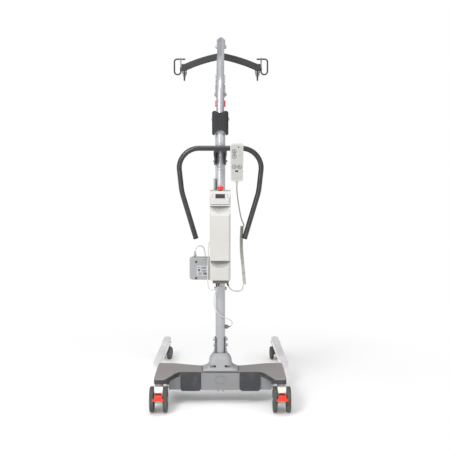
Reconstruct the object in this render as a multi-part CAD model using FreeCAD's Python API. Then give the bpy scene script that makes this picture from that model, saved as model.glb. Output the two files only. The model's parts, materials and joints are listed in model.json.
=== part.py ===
import FreeCAD, Part
import math
import os
from FreeCAD import Vector as V

# Mobile patient lift hoist. Millimetres, +Z up, +Y forward (the way the legs and the boom point),
# +X to the right of an attendant who stands behind the mast. The origin is on the floor, under the
# middle of the hoist's footprint. "Behind" means towards -Y.

# ---- driving dimensions ----
REAR_WHEEL_Y = -492.0            # where the rear wheels touch the floor
WHEELBASE = 1000.0
REAR_WHEEL_D = 125.0
REAR_WHEEL_W = 21.0
REAR_WHEEL_GAP = 44.0            # between the two wheels of one rear caster
REAR_TRAIL = 25.0                # swivel axis ahead of the axle
REAR_CASTER_X = 298.0
FRONT_WHEEL_D = 75.0
FRONT_WHEEL_W = 18.0
FRONT_WHEEL_GAP = 22.0
FRONT_TRAIL = 22.0
FRONT_CASTER_X = 315.0
FRONT_YAW = {"left": 16.0, "right": 6.0}   # how far each parked front caster is turned, degrees

MAST_D = 48.3
MAST_WALL = 3.2
BOOM_D = 38.1
BOOM_WALL = 3.0
HANDLE_D = 25.0
PIVOT_Z = 1411.0                 # boom hinge above the floor
DECK_TOP = 164.0
LEG_WIDTH = 42.0
LEG_LOW = 86.0
LEG_HIGH = 122.0
LEG_CRANK = 60.0                 # leg pivot to the leg actuator's pin
FIT = 0.05                       # radial clearance of a running fit

# ---- derived places ----
MAST_Y = REAR_WHEEL_Y + 200.0
MAST_R = MAST_D / 2
MAST_HUG = MAST_R + 0.15         # a saddle that fits round the mast
FRONT_WHEEL_Y = REAR_WHEEL_Y + WHEELBASE
DECK_REAR_Y = REAR_WHEEL_Y + 134.0
LEG_PIVOT = (272.0, REAR_WHEEL_Y + 250.0)
CRANK_PIN_Y = LEG_PIVOT[1] - LEG_CRANK
CLEVIS_PIN = (MAST_Y + 140.0, PIVOT_Z + 121.0)      # Y and Z of the actuator's upper pin
FOOT_PIN = (MAST_Y + 72.0, 557.0)                   # Y and Z of the actuator's lower pin
HANGER_PIN = (MAST_Y + 838.0, 1812.0)               # Y and Z of the pin at the boom's tip
HANDLE_Y = REAR_WHEEL_Y + 130.0
HANDLE_TOP_Z = 1271.0
BRACKET_BOLT = (MAST_Y, 1205.0)                     # Y and Z of the bolt through the handle's bracket
HANDSET_X = 80.0
HANDSET_REAR_Y = REAR_WHEEL_Y + 88.0
UNIT_REAR_Y = REAR_WHEEL_Y + 66.0                   # rear face of the control unit
UNIT_FRONT_Y = MAST_Y - MAST_R - 4.0
SPREADER_Z = 1760.0
SPREADER_Y = HANGER_PIN[0]


# ---- helpers ----
def box(x, y, z):
    """A box from (low, high) pairs."""
    return Part.makeBox(x[1] - x[0], y[1] - y[0], z[1] - z[0], V(x[0], y[0], z[0]))


def rod(start, end, radius):
    axis = V(*end) - V(*start)
    return Part.makeCylinder(radius, axis.Length, V(*start), axis)


def ring(start, end, outer, inner):
    return rod(start, end, outer).cut(rod(start, end, inner))


def hexagon(start, end, across):
    """A hexagonal prism of the given width across its corners, along X or Z."""
    start, end = V(*start), V(*end)
    axis = (end - start).normalize()
    side = V(0, 1, 0)
    up = axis.cross(side)
    corners = []
    for step in range(6):
        angle = math.radians(60 * step)
        corners.append(start + (side * math.cos(angle) + up * math.sin(angle)) * (across / 2))
    return Part.Face(Part.makePolygon(corners + corners[:1])).extrude(end - start)


def bend(before, corner, after, radius):
    """Start, middle and end of the arc that rounds a corner."""
    a = (before - corner).normalize()
    b = (after - corner).normalize()
    half = a.getAngle(b) / 2
    reach = radius / math.tan(half)
    centre = corner + (a + b).normalize() * (radius / math.sin(half))
    middle = centre + (corner - centre).normalize() * radius
    return corner + a * reach, middle, corner + b * reach


def path(points, radii, closed=False):
    """Straight runs through the points, joined by tangent arcs."""
    points = [V(*p) for p in points]
    count = len(points)
    if not isinstance(radii, (list, tuple)):
        radii = [radii] * count
    corners = []
    for i, point in enumerate(points):
        if radii[i] > 0 and (closed or 0 < i < count - 1):
            corners.append(bend(points[i - 1], point, points[(i + 1) % count], radii[i]))
        else:
            corners.append((point, None, point))
    edges = []
    for i, (start, middle, end) in enumerate(corners):
        if middle is not None:
            edges.append(Part.Arc(start, middle, end).toShape())
        following = corners[(i + 1) % count][0]
        if (closed or i < count - 1) and end.distanceToPoint(following) > 1e-6:
            edges.append(Part.LineSegment(end, following).toShape())
    return Part.Wire(edges)


def plate(points, radii, thickness):
    """A closed outline with rounded corners, extruded along a vector."""
    return Part.Face(path(points, radii, True)).extrude(V(*thickness))


def plan_plate(points, radii, z):
    return plate([(x, y, z[0]) for x, y in points], radii, (0, 0, z[1] - z[0]))


def side_plate(points, radii, x):
    return plate([(x[0], y, z) for y, z in points], radii, (x[1] - x[0], 0, 0))


def front_plate(points, radii, y):
    return plate([(x, y[0], z) for x, z in points], radii, (0, y[1] - y[0], 0))


def block(x, y, z, radius):
    """A box with rounded vertical edges."""
    corners = [(x[0], y[0]), (x[1], y[0]), (x[1], y[1]), (x[0], y[1])]
    return plan_plate(corners, radius, z)


def round_bar(spine, radius):
    """A round section swept along a path."""
    first = spine.OrderedEdges[0]
    start = first.valueAt(first.FirstParameter)
    direction = first.tangentAt(first.FirstParameter)
    circle = Part.Wire(Part.Circle(start, direction, radius).toShape())
    return spine.makePipeShell([circle], True, False)


def bent_tube(points, radii, outer, wall):
    spine = path(points, radii)
    return round_bar(spine, outer / 2).cut(round_bar(spine, outer / 2 - wall))


def mirrored(shape):
    return shape.mirror(V(0, 0, 0), V(1, 0, 0))


def both(shape):
    return [shape, mirrored(shape)]


def fused(first, *others):
    return first.fuse(list(others)).removeSplitter()


def sided(shape, side):
    """Right-hand pieces are modelled; the left-hand ones mirror them."""
    return mirrored(shape) if side == "left" else shape


def save(node, *shapes):
    solids = [solid for shape in shapes for solid in shape.Solids]
    faulty = [solid for solid in solids if not solid.isValid() or solid.Volume <= 0]
    print(f"{node}: {len(solids)} solids, {sum(s.Volume for s in solids) / 1000:.1f} cm3",
          "FAULTY" if faulty or not solids else "")
    shape = solids[0] if len(solids) == 1 else Part.makeCompound(solids)
    shape.exportStep(f"parts/{node}.step")


# ---- base: frame, covers, bumpers ----
DECK_RIGHT = [(211, 134), (268, -6), (321, -6), (316, 300), (232, 291), (112, 248)]
DECK_RADII = [30, 25, 16, 22, 60, 80]
LID_SCREW = (252.0, DECK_REAR_Y + 96)                # X and Y of the right-hand screw of the lid


def deck_outline(z):
    """The outline of the base: two lobes over the rear casters, joined by a narrow waist."""
    right = [(x, REAR_WHEEL_Y + y) for x, y in DECK_RIGHT]
    left = [(-x, y) for x, y in reversed(right)]
    points = [(x, y, z) for x, y in right + left]
    return Part.Face(path(points, DECK_RADII + DECK_RADII[::-1], True))


def deck_slab(inset, z):
    face = deck_outline(z[0])
    if inset:
        face = face.makeOffset2D(-inset)
    return face.extrude(V(0, 0, z[1] - z[0]))


def base_frame():
    """A weldment: deck plate, the two walls below it, leg pivot arms and caster bosses."""
    deck = deck_slab(7, (148, 153))
    rear_wall = box((-256, 256), (DECK_REAR_Y + 2, DECK_REAR_Y + 6), (70, 148))
    rear_lip = box((-256, 256), (DECK_REAR_Y + 6, DECK_REAR_Y + 18), (70, 73))
    front_y = (DECK_REAR_Y + 105, DECK_REAR_Y + 109)
    front_wall = box((-234, 234), front_y, (70, 148))
    pieces = [deck, rear_wall, rear_lip, front_wall]
    for side in (1, -1):
        px, py = side * LEG_PIVOT[0], LEG_PIVOT[1]
        arm = box(sorted((side * 200, px)), (py - 25, py + 25), (57, 62))
        pieces.append(arm.fuse(rod((px, py, 57), (px, py, 62), 25)).removeSplitter())
        pieces.append(box(sorted((side * 200, side * 234)), front_y, (62, 70)))
        boss_y = REAR_WHEEL_Y + REAR_TRAIL
        pieces.append(rod((side * REAR_CASTER_X, boss_y, 140), (side * REAR_CASTER_X, boss_y, 148), 15))
    for side in (1, -1):
        px, py = side * LEG_PIVOT[0], LEG_PIVOT[1]
        cx, cy = side * REAR_CASTER_X, REAR_WHEEL_Y + REAR_TRAIL
        holes = rod((px, py, 50), (px, py, 160), 10).fuse(rod((cx, cy, 130), (cx, cy, 160), 6 + FIT))
        pieces = [piece.cut(holes) for piece in pieces]
    return pieces


def base_cover():
    """A moulded lid over the base, open below, with its rear edges cut back for the bumpers."""
    shell = deck_slab(0, (139, DECK_TOP))
    shell = shell.cut(deck_slab(3, (138, DECK_TOP - 3)))
    shell = shell.cut(rod((0, MAST_Y, 130), (0, MAST_Y, 170), 46))
    for x in (-LID_SCREW[0], LID_SCREW[0]):
        shell = shell.cut(rod((x, LID_SCREW[1], 150), (x, LID_SCREW[1], 170), 2.1))
    for tool in bumper_band(0.3):
        shell = shell.cut(tool)
    waist = box((-208, 208), (DECK_REAR_Y - 5, DECK_REAR_Y + 8), (138, DECK_TOP - 5))
    return shell.cut(waist)


def bumper_band(clearance=0.0):
    """Rubber strips round the rear edges of both lobes, just under the lid's top."""
    band = deck_slab(0, (138, DECK_TOP - 5 + clearance))
    band = band.cut(deck_slab(6 + clearance, (137, DECK_TOP)))
    edge_y = REAR_WHEEL_Y - 20
    region = box((205, 308), (edge_y, DECK_REAR_Y), (130, 170))
    corner = box((300, 330), (edge_y, REAR_WHEEL_Y + 26 + clearance), (130, 170))
    return both(band.common(region.fuse(corner)))


def foot_pads():
    """Rubber pads on the rear of the cross beam, where a foot pushes the hoist off."""
    pad = front_plate([(98, 66), (198, 66), (198, 158), (98, 158)], [12, 12, 2, 2],
                      (DECK_REAR_Y - 9, DECK_REAR_Y + 1.8))
    return both(pad)


def centre_plate():
    """The cover between the foot pads, with a plain oval boss."""
    body = front_plate([(-96.5, 70), (96.5, 70), (96.5, 157), (-96.5, 157)], [3, 3, 3, 3],
                       (DECK_REAR_Y - 4, DECK_REAR_Y + 1.8))
    boss = Part.Ellipse(V(0, 0, 0), 26, 19).toShape()
    boss = Part.Face(Part.Wire(boss)).extrude(V(0, 0, 2))
    boss.rotate(V(0, 0, 0), V(1, 0, 0), 90)
    boss.translate(V(0, DECK_REAR_Y - 3.5, 122))
    return fused(body, boss)


DOME_RINGS = [(DECK_TOP + 0.2, 90, 66, 14), (168, 86, 65, 16), (178, 68, 62, 22), (214, 55, 56, 26),
              (233, 46, 48, 26), (242, 38, 39, 24), (247, 32, 33, 22)]


def dome(inset, low):
    """A loft of rounded rectangles that shrink upwards round the mast."""
    wires = []
    for z, half_x, half_y, radius in DOME_RINGS:
        x, y, r = half_x - inset, half_y - inset, max(radius - inset, 2)
        height = z - (inset if z > 240 else 0) - (low if z < 165 else 0)
        corners = [(-x, MAST_Y - y), (x, MAST_Y - y), (x, MAST_Y + y - 16), (-x, MAST_Y + y - 16)]
        wires.append(path([(cx, cy, height) for cx, cy in corners], r, True))
    return Part.makeLoft(wires, True, False)


def mast_cover():
    """The moulded dome over the foot of the mast, with two pockets for its screws."""
    shell = dome(0, 0).cut(dome(3, 0.2))
    shell = shell.cut(rod((0, MAST_Y, 150), (0, MAST_Y, 260), 41.5))
    cap = dome(0, 0).common(ring((0, MAST_Y, 236), (0, MAST_Y, 260), 44, MAST_HUG + 0.3))
    cap = cap.cut(box((-42, 42), (MAST_Y - 21, MAST_Y + 21), (236, 260)))
    shell = fused(shell, cap)
    for side in (1, -1):
        liner = box(sorted((side * 20, side * 53)), (MAST_Y - 75, MAST_Y - 49), (180, 195))
        pocket = box(sorted((side * 22, side * 51)), (MAST_Y - 75, MAST_Y - 51.5), (182, 193))
        shell = fused(shell, dome(0, 0).common(liner)).cut(pocket)
    return shell


def mast_socket():
    """Cheeks that clamp the foot of the mast and carry its two cross bolts."""
    cheek = front_plate([(MAST_HUG, 153), (41, 153), (38, 236), (28.5, 272), (28.5, 324),
                         (MAST_HUG, 324)], [0, 0, 8, 10, 2, 0], (MAST_Y - 17, MAST_Y + 17))
    foot = block((-60, 60), (MAST_Y - 44, MAST_Y + 32), (153, 159), 6)
    foot = foot.cut(rod((0, MAST_Y, 150), (0, MAST_Y, 162), MAST_HUG))
    socket = fused(foot, *both(cheek))
    for z in (283, 313):
        socket = socket.cut(rod((-50, MAST_Y, z), (50, MAST_Y, z), 5.2))
    return socket


def mast_tube():
    mast = ring((0, MAST_Y, 153.2), (0, MAST_Y, 1378), MAST_R, MAST_R - MAST_WALL)
    for z in (283, 313):
        mast = mast.cut(rod((-50, MAST_Y, z), (50, MAST_Y, z), 5.2))
    return mast.cut(rod((-50, *BRACKET_BOLT), (50, *BRACKET_BOLT), 3.2))


def cross_bolt(y, z, half, radius, head_r, head_h):
    """A bolt along X with a head on each side, centred on the mast's plane."""
    shank = rod((-half, y, z), (half, y, z), radius)
    right = hexagon((half, y, z), (half + head_h, y, z), 2 * head_r)
    left = hexagon((-half, y, z), (-half - head_h, y, z), 2 * head_r)
    return fused(shank, right, left)


def chassis_fasteners():
    """Bolts, pins and screws of the base and the mast, each a solid of its own."""
    solids = [cross_bolt(MAST_Y, z, 28.6, 5, 8.5, 6) for z in (283, 313)]
    solids.append(cross_bolt(*BRACKET_BOLT, 29.2, 3, 6.5, 4.5))
    foot_y, foot_z = FOOT_PIN
    solids.append(fused(rod((-22, foot_y, foot_z), (22, foot_y, foot_z), 6),
                        rod((22, foot_y, foot_z), (30, foot_y, foot_z), 9),
                        rod((-30, foot_y, foot_z), (-22, foot_y, foot_z), 9)))
    for side in (1, -1):
        x, y = side * LEG_PIVOT[0], LEG_PIVOT[1]
        solids.append(fused(rod((x, y, 54), (x, y, 153), 10 - FIT),
                            hexagon((x, y, 49), (x, y, 57), 30), rod((x, y, 153), (x, y, 157), 15)))
        screw_y = DECK_REAR_Y
        solids.append(fused(rod((side * 13, screw_y, 62), (side * 13, screw_y, 66), 5),
                            rod((side * 13, screw_y, 66), (side * 13, screw_y, 69.8), 2.5)))
        x = side * 27
        solids.append(rod((x, MAST_Y - 56, 187.5), (x, MAST_Y - 51.5, 187.5), 4.4))
        x, y = side * LID_SCREW[0], LID_SCREW[1]
        solids.append(fused(rod((x, y, DECK_TOP), (x, y, DECK_TOP + 1.4), 5.5),
                            rod((x, y, 153.2), (x, y, DECK_TOP), 2)))
    return solids


# ---- mast head, handle and brackets ----
def mast_head_fork():
    """Two steel cheeks on a collar at the top of the mast. They carry the boom's hinge pin."""
    cheek = side_plate([(MAST_Y - 24, 1342), (MAST_Y + 24, 1342), (MAST_Y + 24, 1436),
                        (MAST_Y - 24, 1436)], [4, 4, 22, 22], (26.5, 32))
    collar = block((-32, 32), (MAST_Y - 27, MAST_Y + 27), (1342, 1376), 10)
    fork = fused(collar.cut(rod((0, MAST_Y, 1330), (0, MAST_Y, 1390), MAST_HUG)), *both(cheek))
    return fork.cut(rod((-40, MAST_Y, PIVOT_Z), (40, MAST_Y, PIVOT_Z), 8))


def mast_head_shroud():
    """A moulded shroud round the mast head, open in front and above for the boom."""
    rear, front = MAST_Y - 37, MAST_Y + 34
    outer = plan_plate([(-40, rear), (40, rear), (40, front), (-40, front)], [17, 17, 5, 5],
                       (1333, 1451))
    face = front_plate([(-40, 1333), (40, 1333), (40, 1451), (-40, 1451)], [9, 9, 12, 12],
                       (rear - 5, front + 5))
    body = outer.common(face)
    inner = plan_plate([(-35.6, rear + 4), (35.6, rear + 4), (35.6, front + 9), (-35.6, front + 9)],
                       [13, 13, 0, 0], (1320, 1460))
    body = body.cut(inner)
    arch = rod((0, rear - 5, 1332), (0, rear + 12, 1332), 26.5)
    dip = rod((0, rear - 5, 1474), (0, rear + 12, 1474), 32)
    body = body.cut(arch).cut(dip)
    body = body.cut(rod((-45, MAST_Y, PIVOT_Z), (45, MAST_Y, PIVOT_Z), 12.6))
    for x in (-24, -12, 12, 24):
        body = body.cut(box((x - 0.7, x + 0.7), (rear - 1, rear + 0.9), (1372, 1430)))
    return body


def boom_pivot_pin():
    pin = rod((-34, MAST_Y, PIVOT_Z), (34, MAST_Y, PIVOT_Z), 8)
    heads = []
    for side in (1, -1):
        heads.append(rod((side * 32.1, MAST_Y, PIVOT_Z), (side * 40.5, MAST_Y, PIVOT_Z), 12))
        heads.append(rod((side * 40.5, MAST_Y, PIVOT_Z), (side * 42, MAST_Y, PIVOT_Z), 8))
    return fused(pin, *heads)


HANDLE_RIGHT = [(209, HANDLE_TOP_Z), (187, 1062), (120, 836)]


def push_handle():
    """A bow of round tube: a level top bar and two arms that curve in to open ends."""
    right = [(x, HANDLE_Y, z) for x, z in HANDLE_RIGHT]
    left = [(-x, y, z) for x, y, z in reversed(right)]
    radii = [0, 260, 96, 96, 260, 0]
    tube = bent_tube(left + right, radii, HANDLE_D, 2.5)
    return [tube] + [round_bar(cap, HANDLE_D / 2 + 0.4) for cap in handle_cap_spines()]


def handle_cap_spines():
    """Short spines just past the tube's ends, for the end caps."""
    (x0, z0), (x1, z1) = HANDLE_RIGHT[1:]
    length = math.hypot(x1 - x0, z1 - z0)
    dx, dz = (x1 - x0) / length, (z1 - z0) / length
    spines = []
    for side in (1, -1):
        start = V(side * x1, HANDLE_Y, z1)
        end = V(side * (x1 + 5 * dx), HANDLE_Y, z1 + 5 * dz)
        spines.append(Part.Wire([Part.LineSegment(start, end).toShape()]))
    return spines


def handle_bracket():
    """An arched saddle that holds the handle's top bar off the mast."""
    rear, front = HANDLE_Y - 11, MAST_Y + 14
    outer = front_plate([(-29, 1189), (29, 1189), (29, 1222), (32, 1240), (32, 1276), (-32, 1276),
                         (-32, 1240), (-29, 1222)], [2, 2, 9, 9, 6, 6, 9, 9], (rear, front))
    arch = rod((0, rear - 5, 1236), (0, MAST_Y, 1236), 24.5)
    gap = box((-24.5, 24.5), (rear - 5, front + 5), (1180, 1236))
    body = outer.cut(arch).cut(gap)
    body = body.cut(rod((0, MAST_Y, 1180), (0, MAST_Y, 1280), MAST_HUG))
    body = body.cut(box((-24.5, 24.5), (MAST_Y, front + 5), (1180, 1280)))
    body = body.cut(rod((-40, HANDLE_Y, HANDLE_TOP_Z), (40, HANDLE_Y, HANDLE_TOP_Z), HANDLE_D / 2))
    return body.cut(rod((-40, *BRACKET_BOLT), (40, *BRACKET_BOLT), 3.1))


def mast_brackets():
    """The control unit's carrier and the lift actuator's foot bracket, welded to the mast."""
    web = box((-33, 30), (UNIT_FRONT_Y + 0.2, MAST_Y - MAST_R - 0.1), (640, 1060))
    flange = box((-33, -25), (UNIT_FRONT_Y + 0.2, MAST_Y + 14), (640, 1119))
    carrier = fused(web, flange)
    foot_y, foot_z = FOOT_PIN
    cheek = side_plate([(MAST_Y + 5, foot_z - 20), (foot_y + 4, foot_z - 14), (foot_y + 15, foot_z),
                        (foot_y + 4, foot_z + 14), (MAST_Y + 5, foot_z + 45)],
                       [0, 10, 8, 10, 0], (16, 22))
    back = box((-22, 22), (MAST_Y + 5, MAST_Y + 30), (foot_z - 20, foot_z + 30))
    foot = fused(back, *both(cheek))
    foot = foot.cut(rod((0, MAST_Y, 500), (0, MAST_Y, 620), MAST_HUG))
    foot = foot.cut(rod((-40, foot_y, foot_z), (40, foot_y, foot_z), 6))
    return [carrier, foot]


# ---- control unit, battery and emergency stop ----
SCOOP_R = 70.0


def scoop(z):
    """The tool for a half-moon finger recess with a flat top edge at height z."""
    ball = Part.makeSphere(SCOOP_R, V(0, UNIT_REAR_Y - 42, z + 21))
    return ball.common(box((-60, 60), (UNIT_REAR_Y - 20, UNIT_REAR_Y + 40), (z - 80, z)))


def control_box():
    """The housing of the electronics: a carrier behind the battery, a head and a lower block."""
    footprint = [(-50, UNIT_REAR_Y), (50, UNIT_REAR_Y), (50, UNIT_FRONT_Y), (-50, UNIT_FRONT_Y)]
    body = plan_plate(footprint, [14, 14, 6, 6], (633, 1067))
    profile = side_plate([(UNIT_REAR_Y, 633), (UNIT_FRONT_Y, 633), (UNIT_FRONT_Y, 1067),
                          (UNIT_REAR_Y + 17, 1067), (UNIT_REAR_Y, 1030)], [5, 3, 5, 8, 8], (-60, 60))
    body = body.common(profile)
    bay = box((-60, 60), (UNIT_REAR_Y - 20, UNIT_REAR_Y + 53), (729.5, 1005))
    body = body.cut(bay).cut(scoop(729.5))
    body = body.cut(rod((0, ESTOP_Y, 1046), (0, ESTOP_Y, 1080), 7.5))
    window = box((-23, 23), (-1.2, 1.2), (-11, 11))
    window.rotate(V(0, 0, 0), V(1, 0, 0), -math.degrees(math.atan2(17, 37)))
    window.translate(V(0, UNIT_REAR_Y + 6.2, 1043.5))
    electronics = box((-45, 45), (UNIT_REAR_Y + 57, UNIT_FRONT_Y - 4), (638, 1040))
    return body.cut(window).cut(electronics)


def battery_pack():
    """The clip-on battery: a proud face with bevelled sides and a finger recess on top."""
    rear, front = UNIT_REAR_Y - 8, UNIT_REAR_Y + 52
    body = plan_plate([(-42, rear), (42, rear), (50, rear + 8), (50, front), (-50, front),
                       (-50, rear + 8)], [2, 2, 2, 4, 4, 2], (731, 1003.5))
    profile = side_plate([(rear, 731), (front, 731), (front, 1003.5), (rear + 9, 1003.5),
                          (rear + 9, 970), (rear, 950)], [3, 2, 2, 3, 0, 6], (-60, 60))
    return body.common(profile).cut(scoop(997))


ESTOP_Y = UNIT_REAR_Y + 46.0


def estop_button():
    """The mushroom cap of the emergency stop, on its stem."""
    cap = rod((0, ESTOP_Y, 1072), (0, ESTOP_Y, 1088), 14.5)
    rim = [edge for edge in cap.Edges if abs(edge.CenterOfMass.z - 1088) < 0.1]
    cap = cap.makeFillet(2.5, rim)
    return fused(cap, rod((0, ESTOP_Y, 1052), (0, ESTOP_Y, 1072), 7))


# ---- handset ----
HANDSET_BUTTONS = {"handset_button_up": (68.0, 1257.0), "handset_button_down": (68.0, 1234.0),
                   "handset_button_open": (67.0, 1184.0), "handset_button_close": (93.0, 1184.0)}
BUTTON_R = 6.5


def handset_shell():
    """The hand control with its hanging hook and its cord sleeve."""
    rear, front = HANDSET_REAR_Y, HANDSET_REAR_Y + 24
    body = front_plate([(HANDSET_X - 29, 1114), (HANDSET_X + 29, 1114), (HANDSET_X + 32, 1296),
                        (HANDSET_X - 32, 1296)], [10, 10, 14, 14], (rear, front))
    rims = [e for e in body.Edges if min(abs(e.BoundBox.YMax - rear), abs(e.BoundBox.YMin - front)) < 0.01]
    body = body.makeFillet(3.5, rims)
    for x, z in HANDSET_BUTTONS.values():
        body = body.cut(rod((x, rear - 2, z), (x, rear + 5, z), BUTTON_R + 0.4))
    hook = side_plate([(front - 1, 1286), (HANDLE_Y + 17.5, 1286), (HANDLE_Y + 17.5, 1262),
                       (HANDLE_Y + 21, 1262), (HANDLE_Y + 21, 1290), (front - 1, 1290)],
                      [0, 3, 1, 1, 6, 0], (HANDSET_X - 14, HANDSET_X + 14))
    sleeve = Part.makeCone(6.5, 4.2, 22, V(HANDSET_X, rear + 12, 1115), V(0, 0, -1))
    return fused(body, hook, sleeve)


def handset_button(x, z):
    """A round key that stands 1.5 mm proud."""
    rear = HANDSET_REAR_Y
    return rod((x, rear - 1.5, z), (x, rear + 3, z), BUTTON_R)


# ---- cords ----
CORD_D = 5.5
COIL_D = 17.0
LEAD_D = 4.6
CORD_LEAD = [(80.0, -392.0, 1093.0), (80.0, -392.0, 1066.0), (86.0, -384.5, 1020.0),
             (94.0, -374.0, 968.0), (103.5, -359.0, 920.0), (106.5, -348.7, 889.2)]
CORD_COIL = [(106.5, -343.0, 889.0), (103.5, -338.0, 842.0), (103.0, -335.0, 785.0),
             (108.0, -335.0, 722.0), (115.0, -337.0, 660.0), (119.0, -341.0, 603.0)]
CORD_TAIL = [(119.0, -346.7, 602.6), (118.0, -348.0, 587.0), (105.0, -351.5, 571.0),
             (83.0, -357.0, 567.0), (60.0, -362.5, 573.0), (43.0, -367.5, 588.0),
             (36.0, -370.0, 607.0)]
LIFT_LEAD = [(-128.0, -224.0, 722.6), (-128.0, -222.0, 742.0), (-122.0, -212.0, 764.0),
             (-104.0, -195.0, 775.0), (-86.0, -172.0, 763.0), (-79.0, -153.0, 735.0),
             (-78.0, -148.5, 702.0), (-66.0, -148.5, 689.0), (-48.0, -150.0, 689.0),
             (-36.5, -153.0, 702.0), (-35.0, -161.0, 726.0), (-35.0, -179.0, 751.0),
             (-36.0, -213.0, 772.0), (-41.0, -250.0, 795.0), (-49.0, -288.0, 808.0),
             (-56.0, -322.0, 803.0), (-58.5, -343.0, 780.0), (-59.0, -350.0, 742.0),
             (-61.0, -355.0, 695.0), (-62.5, -358.0, 650.0), (-61.5, -361.0, 614.0),
             (-60.0, -363.0, 591.0), (-52.0, -364.5, 579.0), (-39.0, -366.5, 575.0),
             (-26.0, -368.0, 579.0), (-18.0, -369.0, 590.0), (-18.0, -369.0, 604.0)]
LEG_LEAD = [(-8.0, -350.0, 604.0), (-8.0, -350.0, 590.0), (-20.0, -338.0, 568.0),
            (-32.0, -326.0, 538.0), (-33.0, -322.0, 500.0), (-22.0, -322.0, 464.0),
            (0.0, -322.0, 440.0), (24.0, -321.0, 428.0), (42.0, -314.0, 420.0),
            (56.0, -305.0, 408.0), (61.0, -297.0, 393.0), (54.0, -292.5, 380.0),
            (38.0, -292.0, 376.0)]


def cord_radii(points, diameter, label):
    """Each arc as large as its two runs allow."""
    points = [V(*p) for p in points]
    radii = [0]
    for before, corner, after in zip(points, points[1:], points[2:]):
        runs = ((before - corner).Length, (after - corner).Length)
        turn = math.pi - (before - corner).getAngle(after - corner)
        radii.append(0.45 * min(runs) / math.tan(turn / 2))
    shown = ", ".join(f"{r / diameter:.1f}" for r in radii[1:])
    print(f"{label}: arc radii in diameters {shown}")
    return radii + [0]


def cord_tube(points, diameter, label):
    spine = path(points, cord_radii(points, diameter, label))
    tube = round_bar(spine, diameter / 2)
    expected = math.pi * diameter ** 2 / 4 * spine.Length
    print(f"{label}: length {spine.Length:.0f} mm, volume {tube.Volume / expected:.4f} of section x length")
    return tube


def lead_connectors():
    """The black socket panel under the control unit, its plugs, and the plug on the mast."""
    panel = block((-37, 42), (UNIT_REAR_Y + 28, UNIT_FRONT_Y - 10), (615, 633), 5)
    plugs = [panel]
    x, y, z = LIFT_LEAD[-1]
    plugs.append(rod((x, y, z), (x, y, 614.9), 4.6))
    x, y, z = LEG_LEAD[0]
    plugs.append(rod((x, y, z), (x, y, 614.9), 4.6))
    x, y, z = LEG_LEAD[-1]
    socket = box((MAST_R - 4, x), (y - 7, y + 7), (z - 9, z + 9))
    plugs.append(socket.cut(rod((0, MAST_Y, z - 20), (0, MAST_Y, z + 20), MAST_HUG)))
    return plugs


def handset_plug():
    """The plug of the handset's cord, pushed up into the socket panel."""
    x, y, z = CORD_TAIL[-1]
    before = CORD_TAIL[-2]
    direction = (V(x, y, z) - V(*before)).normalize()
    boot = rod((x, y, z), tuple(V(x, y, z) + direction * 5), 4.4)
    return boot.cut(box((0, 80), (-420, -330), (614.8, 640)))


# ---- boom, hanger and spreader ----
def boom_tube():
    """The bent lifting arm, with the hub that turns on the mast head's pin."""
    profile = [(0, 14), (42, 161), (205, 287), (850, 437)]
    points = [(0, MAST_Y + u, PIVOT_Z + w) for u, w in profile]
    tube = bent_tube(points, [0, 110, 200, 0], BOOM_D, BOOM_WALL)
    hub = rod((-25, MAST_Y, PIVOT_Z), (25, MAST_Y, PIVOT_Z), 19)
    tube = fused(tube, hub).cut(rod((-30, MAST_Y, PIVOT_Z), (30, MAST_Y, PIVOT_Z), 8 + FIT))
    end, before = V(*points[-1]), V(*points[-2])
    direction = (end - before).normalize()
    cap = rod(tuple(end), tuple(end + direction * 6), BOOM_D / 2)
    rim = [edge for edge in cap.Edges if (edge.CenterOfMass - end).Length > 5]
    return [tube, cap.makeFillet(4, rim)]


def boom_brackets():
    """The actuator's clevis under the boom and the two straps that hold the hanger's pin."""
    y, z = CLEVIS_PIN
    cheek = side_plate([(y - 19, z - 6), (y, z - 19), (y + 19, z + 2), (y - 22, z + 99),
                        (y - 90, z + 46)], [10, 14, 10, 4, 4], (19.5, 24.5))
    stub = fused(rod((17, y, z), (25, y, z), 7), rod((24.5, y, z), (29.5, y, z), 9))
    bridge = side_plate([(y - 48, z + 26), (y - 6, z + 58), (y - 10, z + 64), (y - 52, z + 32)],
                        1, (-24.5, 24.5))
    clevis = fused(cheek, mirrored(cheek), stub, mirrored(stub), bridge)
    hy, hz = HANGER_PIN
    strap = side_plate([(hy - 13, hz - 4), (hy, hz - 15), (hy + 13, hz - 4), (hy + 12, hz + 46),
                        (hy - 12, hz + 44)], [10, 10, 10, 4, 4], (19.3, 24.5))
    pin = fused(rod((-26, hy, hz), (26, hy, hz), 6), rod((24.5, hy, hz), (29, hy, hz), 9.5),
                rod((-29, hy, hz), (-24.5, hy, hz), 9.5))
    return [clevis, strap, mirrored(strap), pin]


def hanger_link():
    """The link that hangs from the boom's tip and lets the spreader bar turn below it."""
    y, z = HANGER_PIN
    eye = rod((-14, y, z), (14, y, z), 11.5)
    shank = rod((0, y, SPREADER_Z + 21), (0, y, z), 10.5)
    post = rod((0, y, SPREADER_Z - 29), (0, y, SPREADER_Z + 22), 8)
    nut = hexagon((0, y, SPREADER_Z - 34), (0, y, SPREADER_Z - 24.5), 27)
    return fused(eye, shank, post, nut).cut(rod((-20, y, z), (20, y, z), 6 + FIT))


ARM_RISE = 6.5                   # how far each arm of the spreader curves above its chord
END_X = 209.0
END_Z = SPREADER_Z - 66.0


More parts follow.
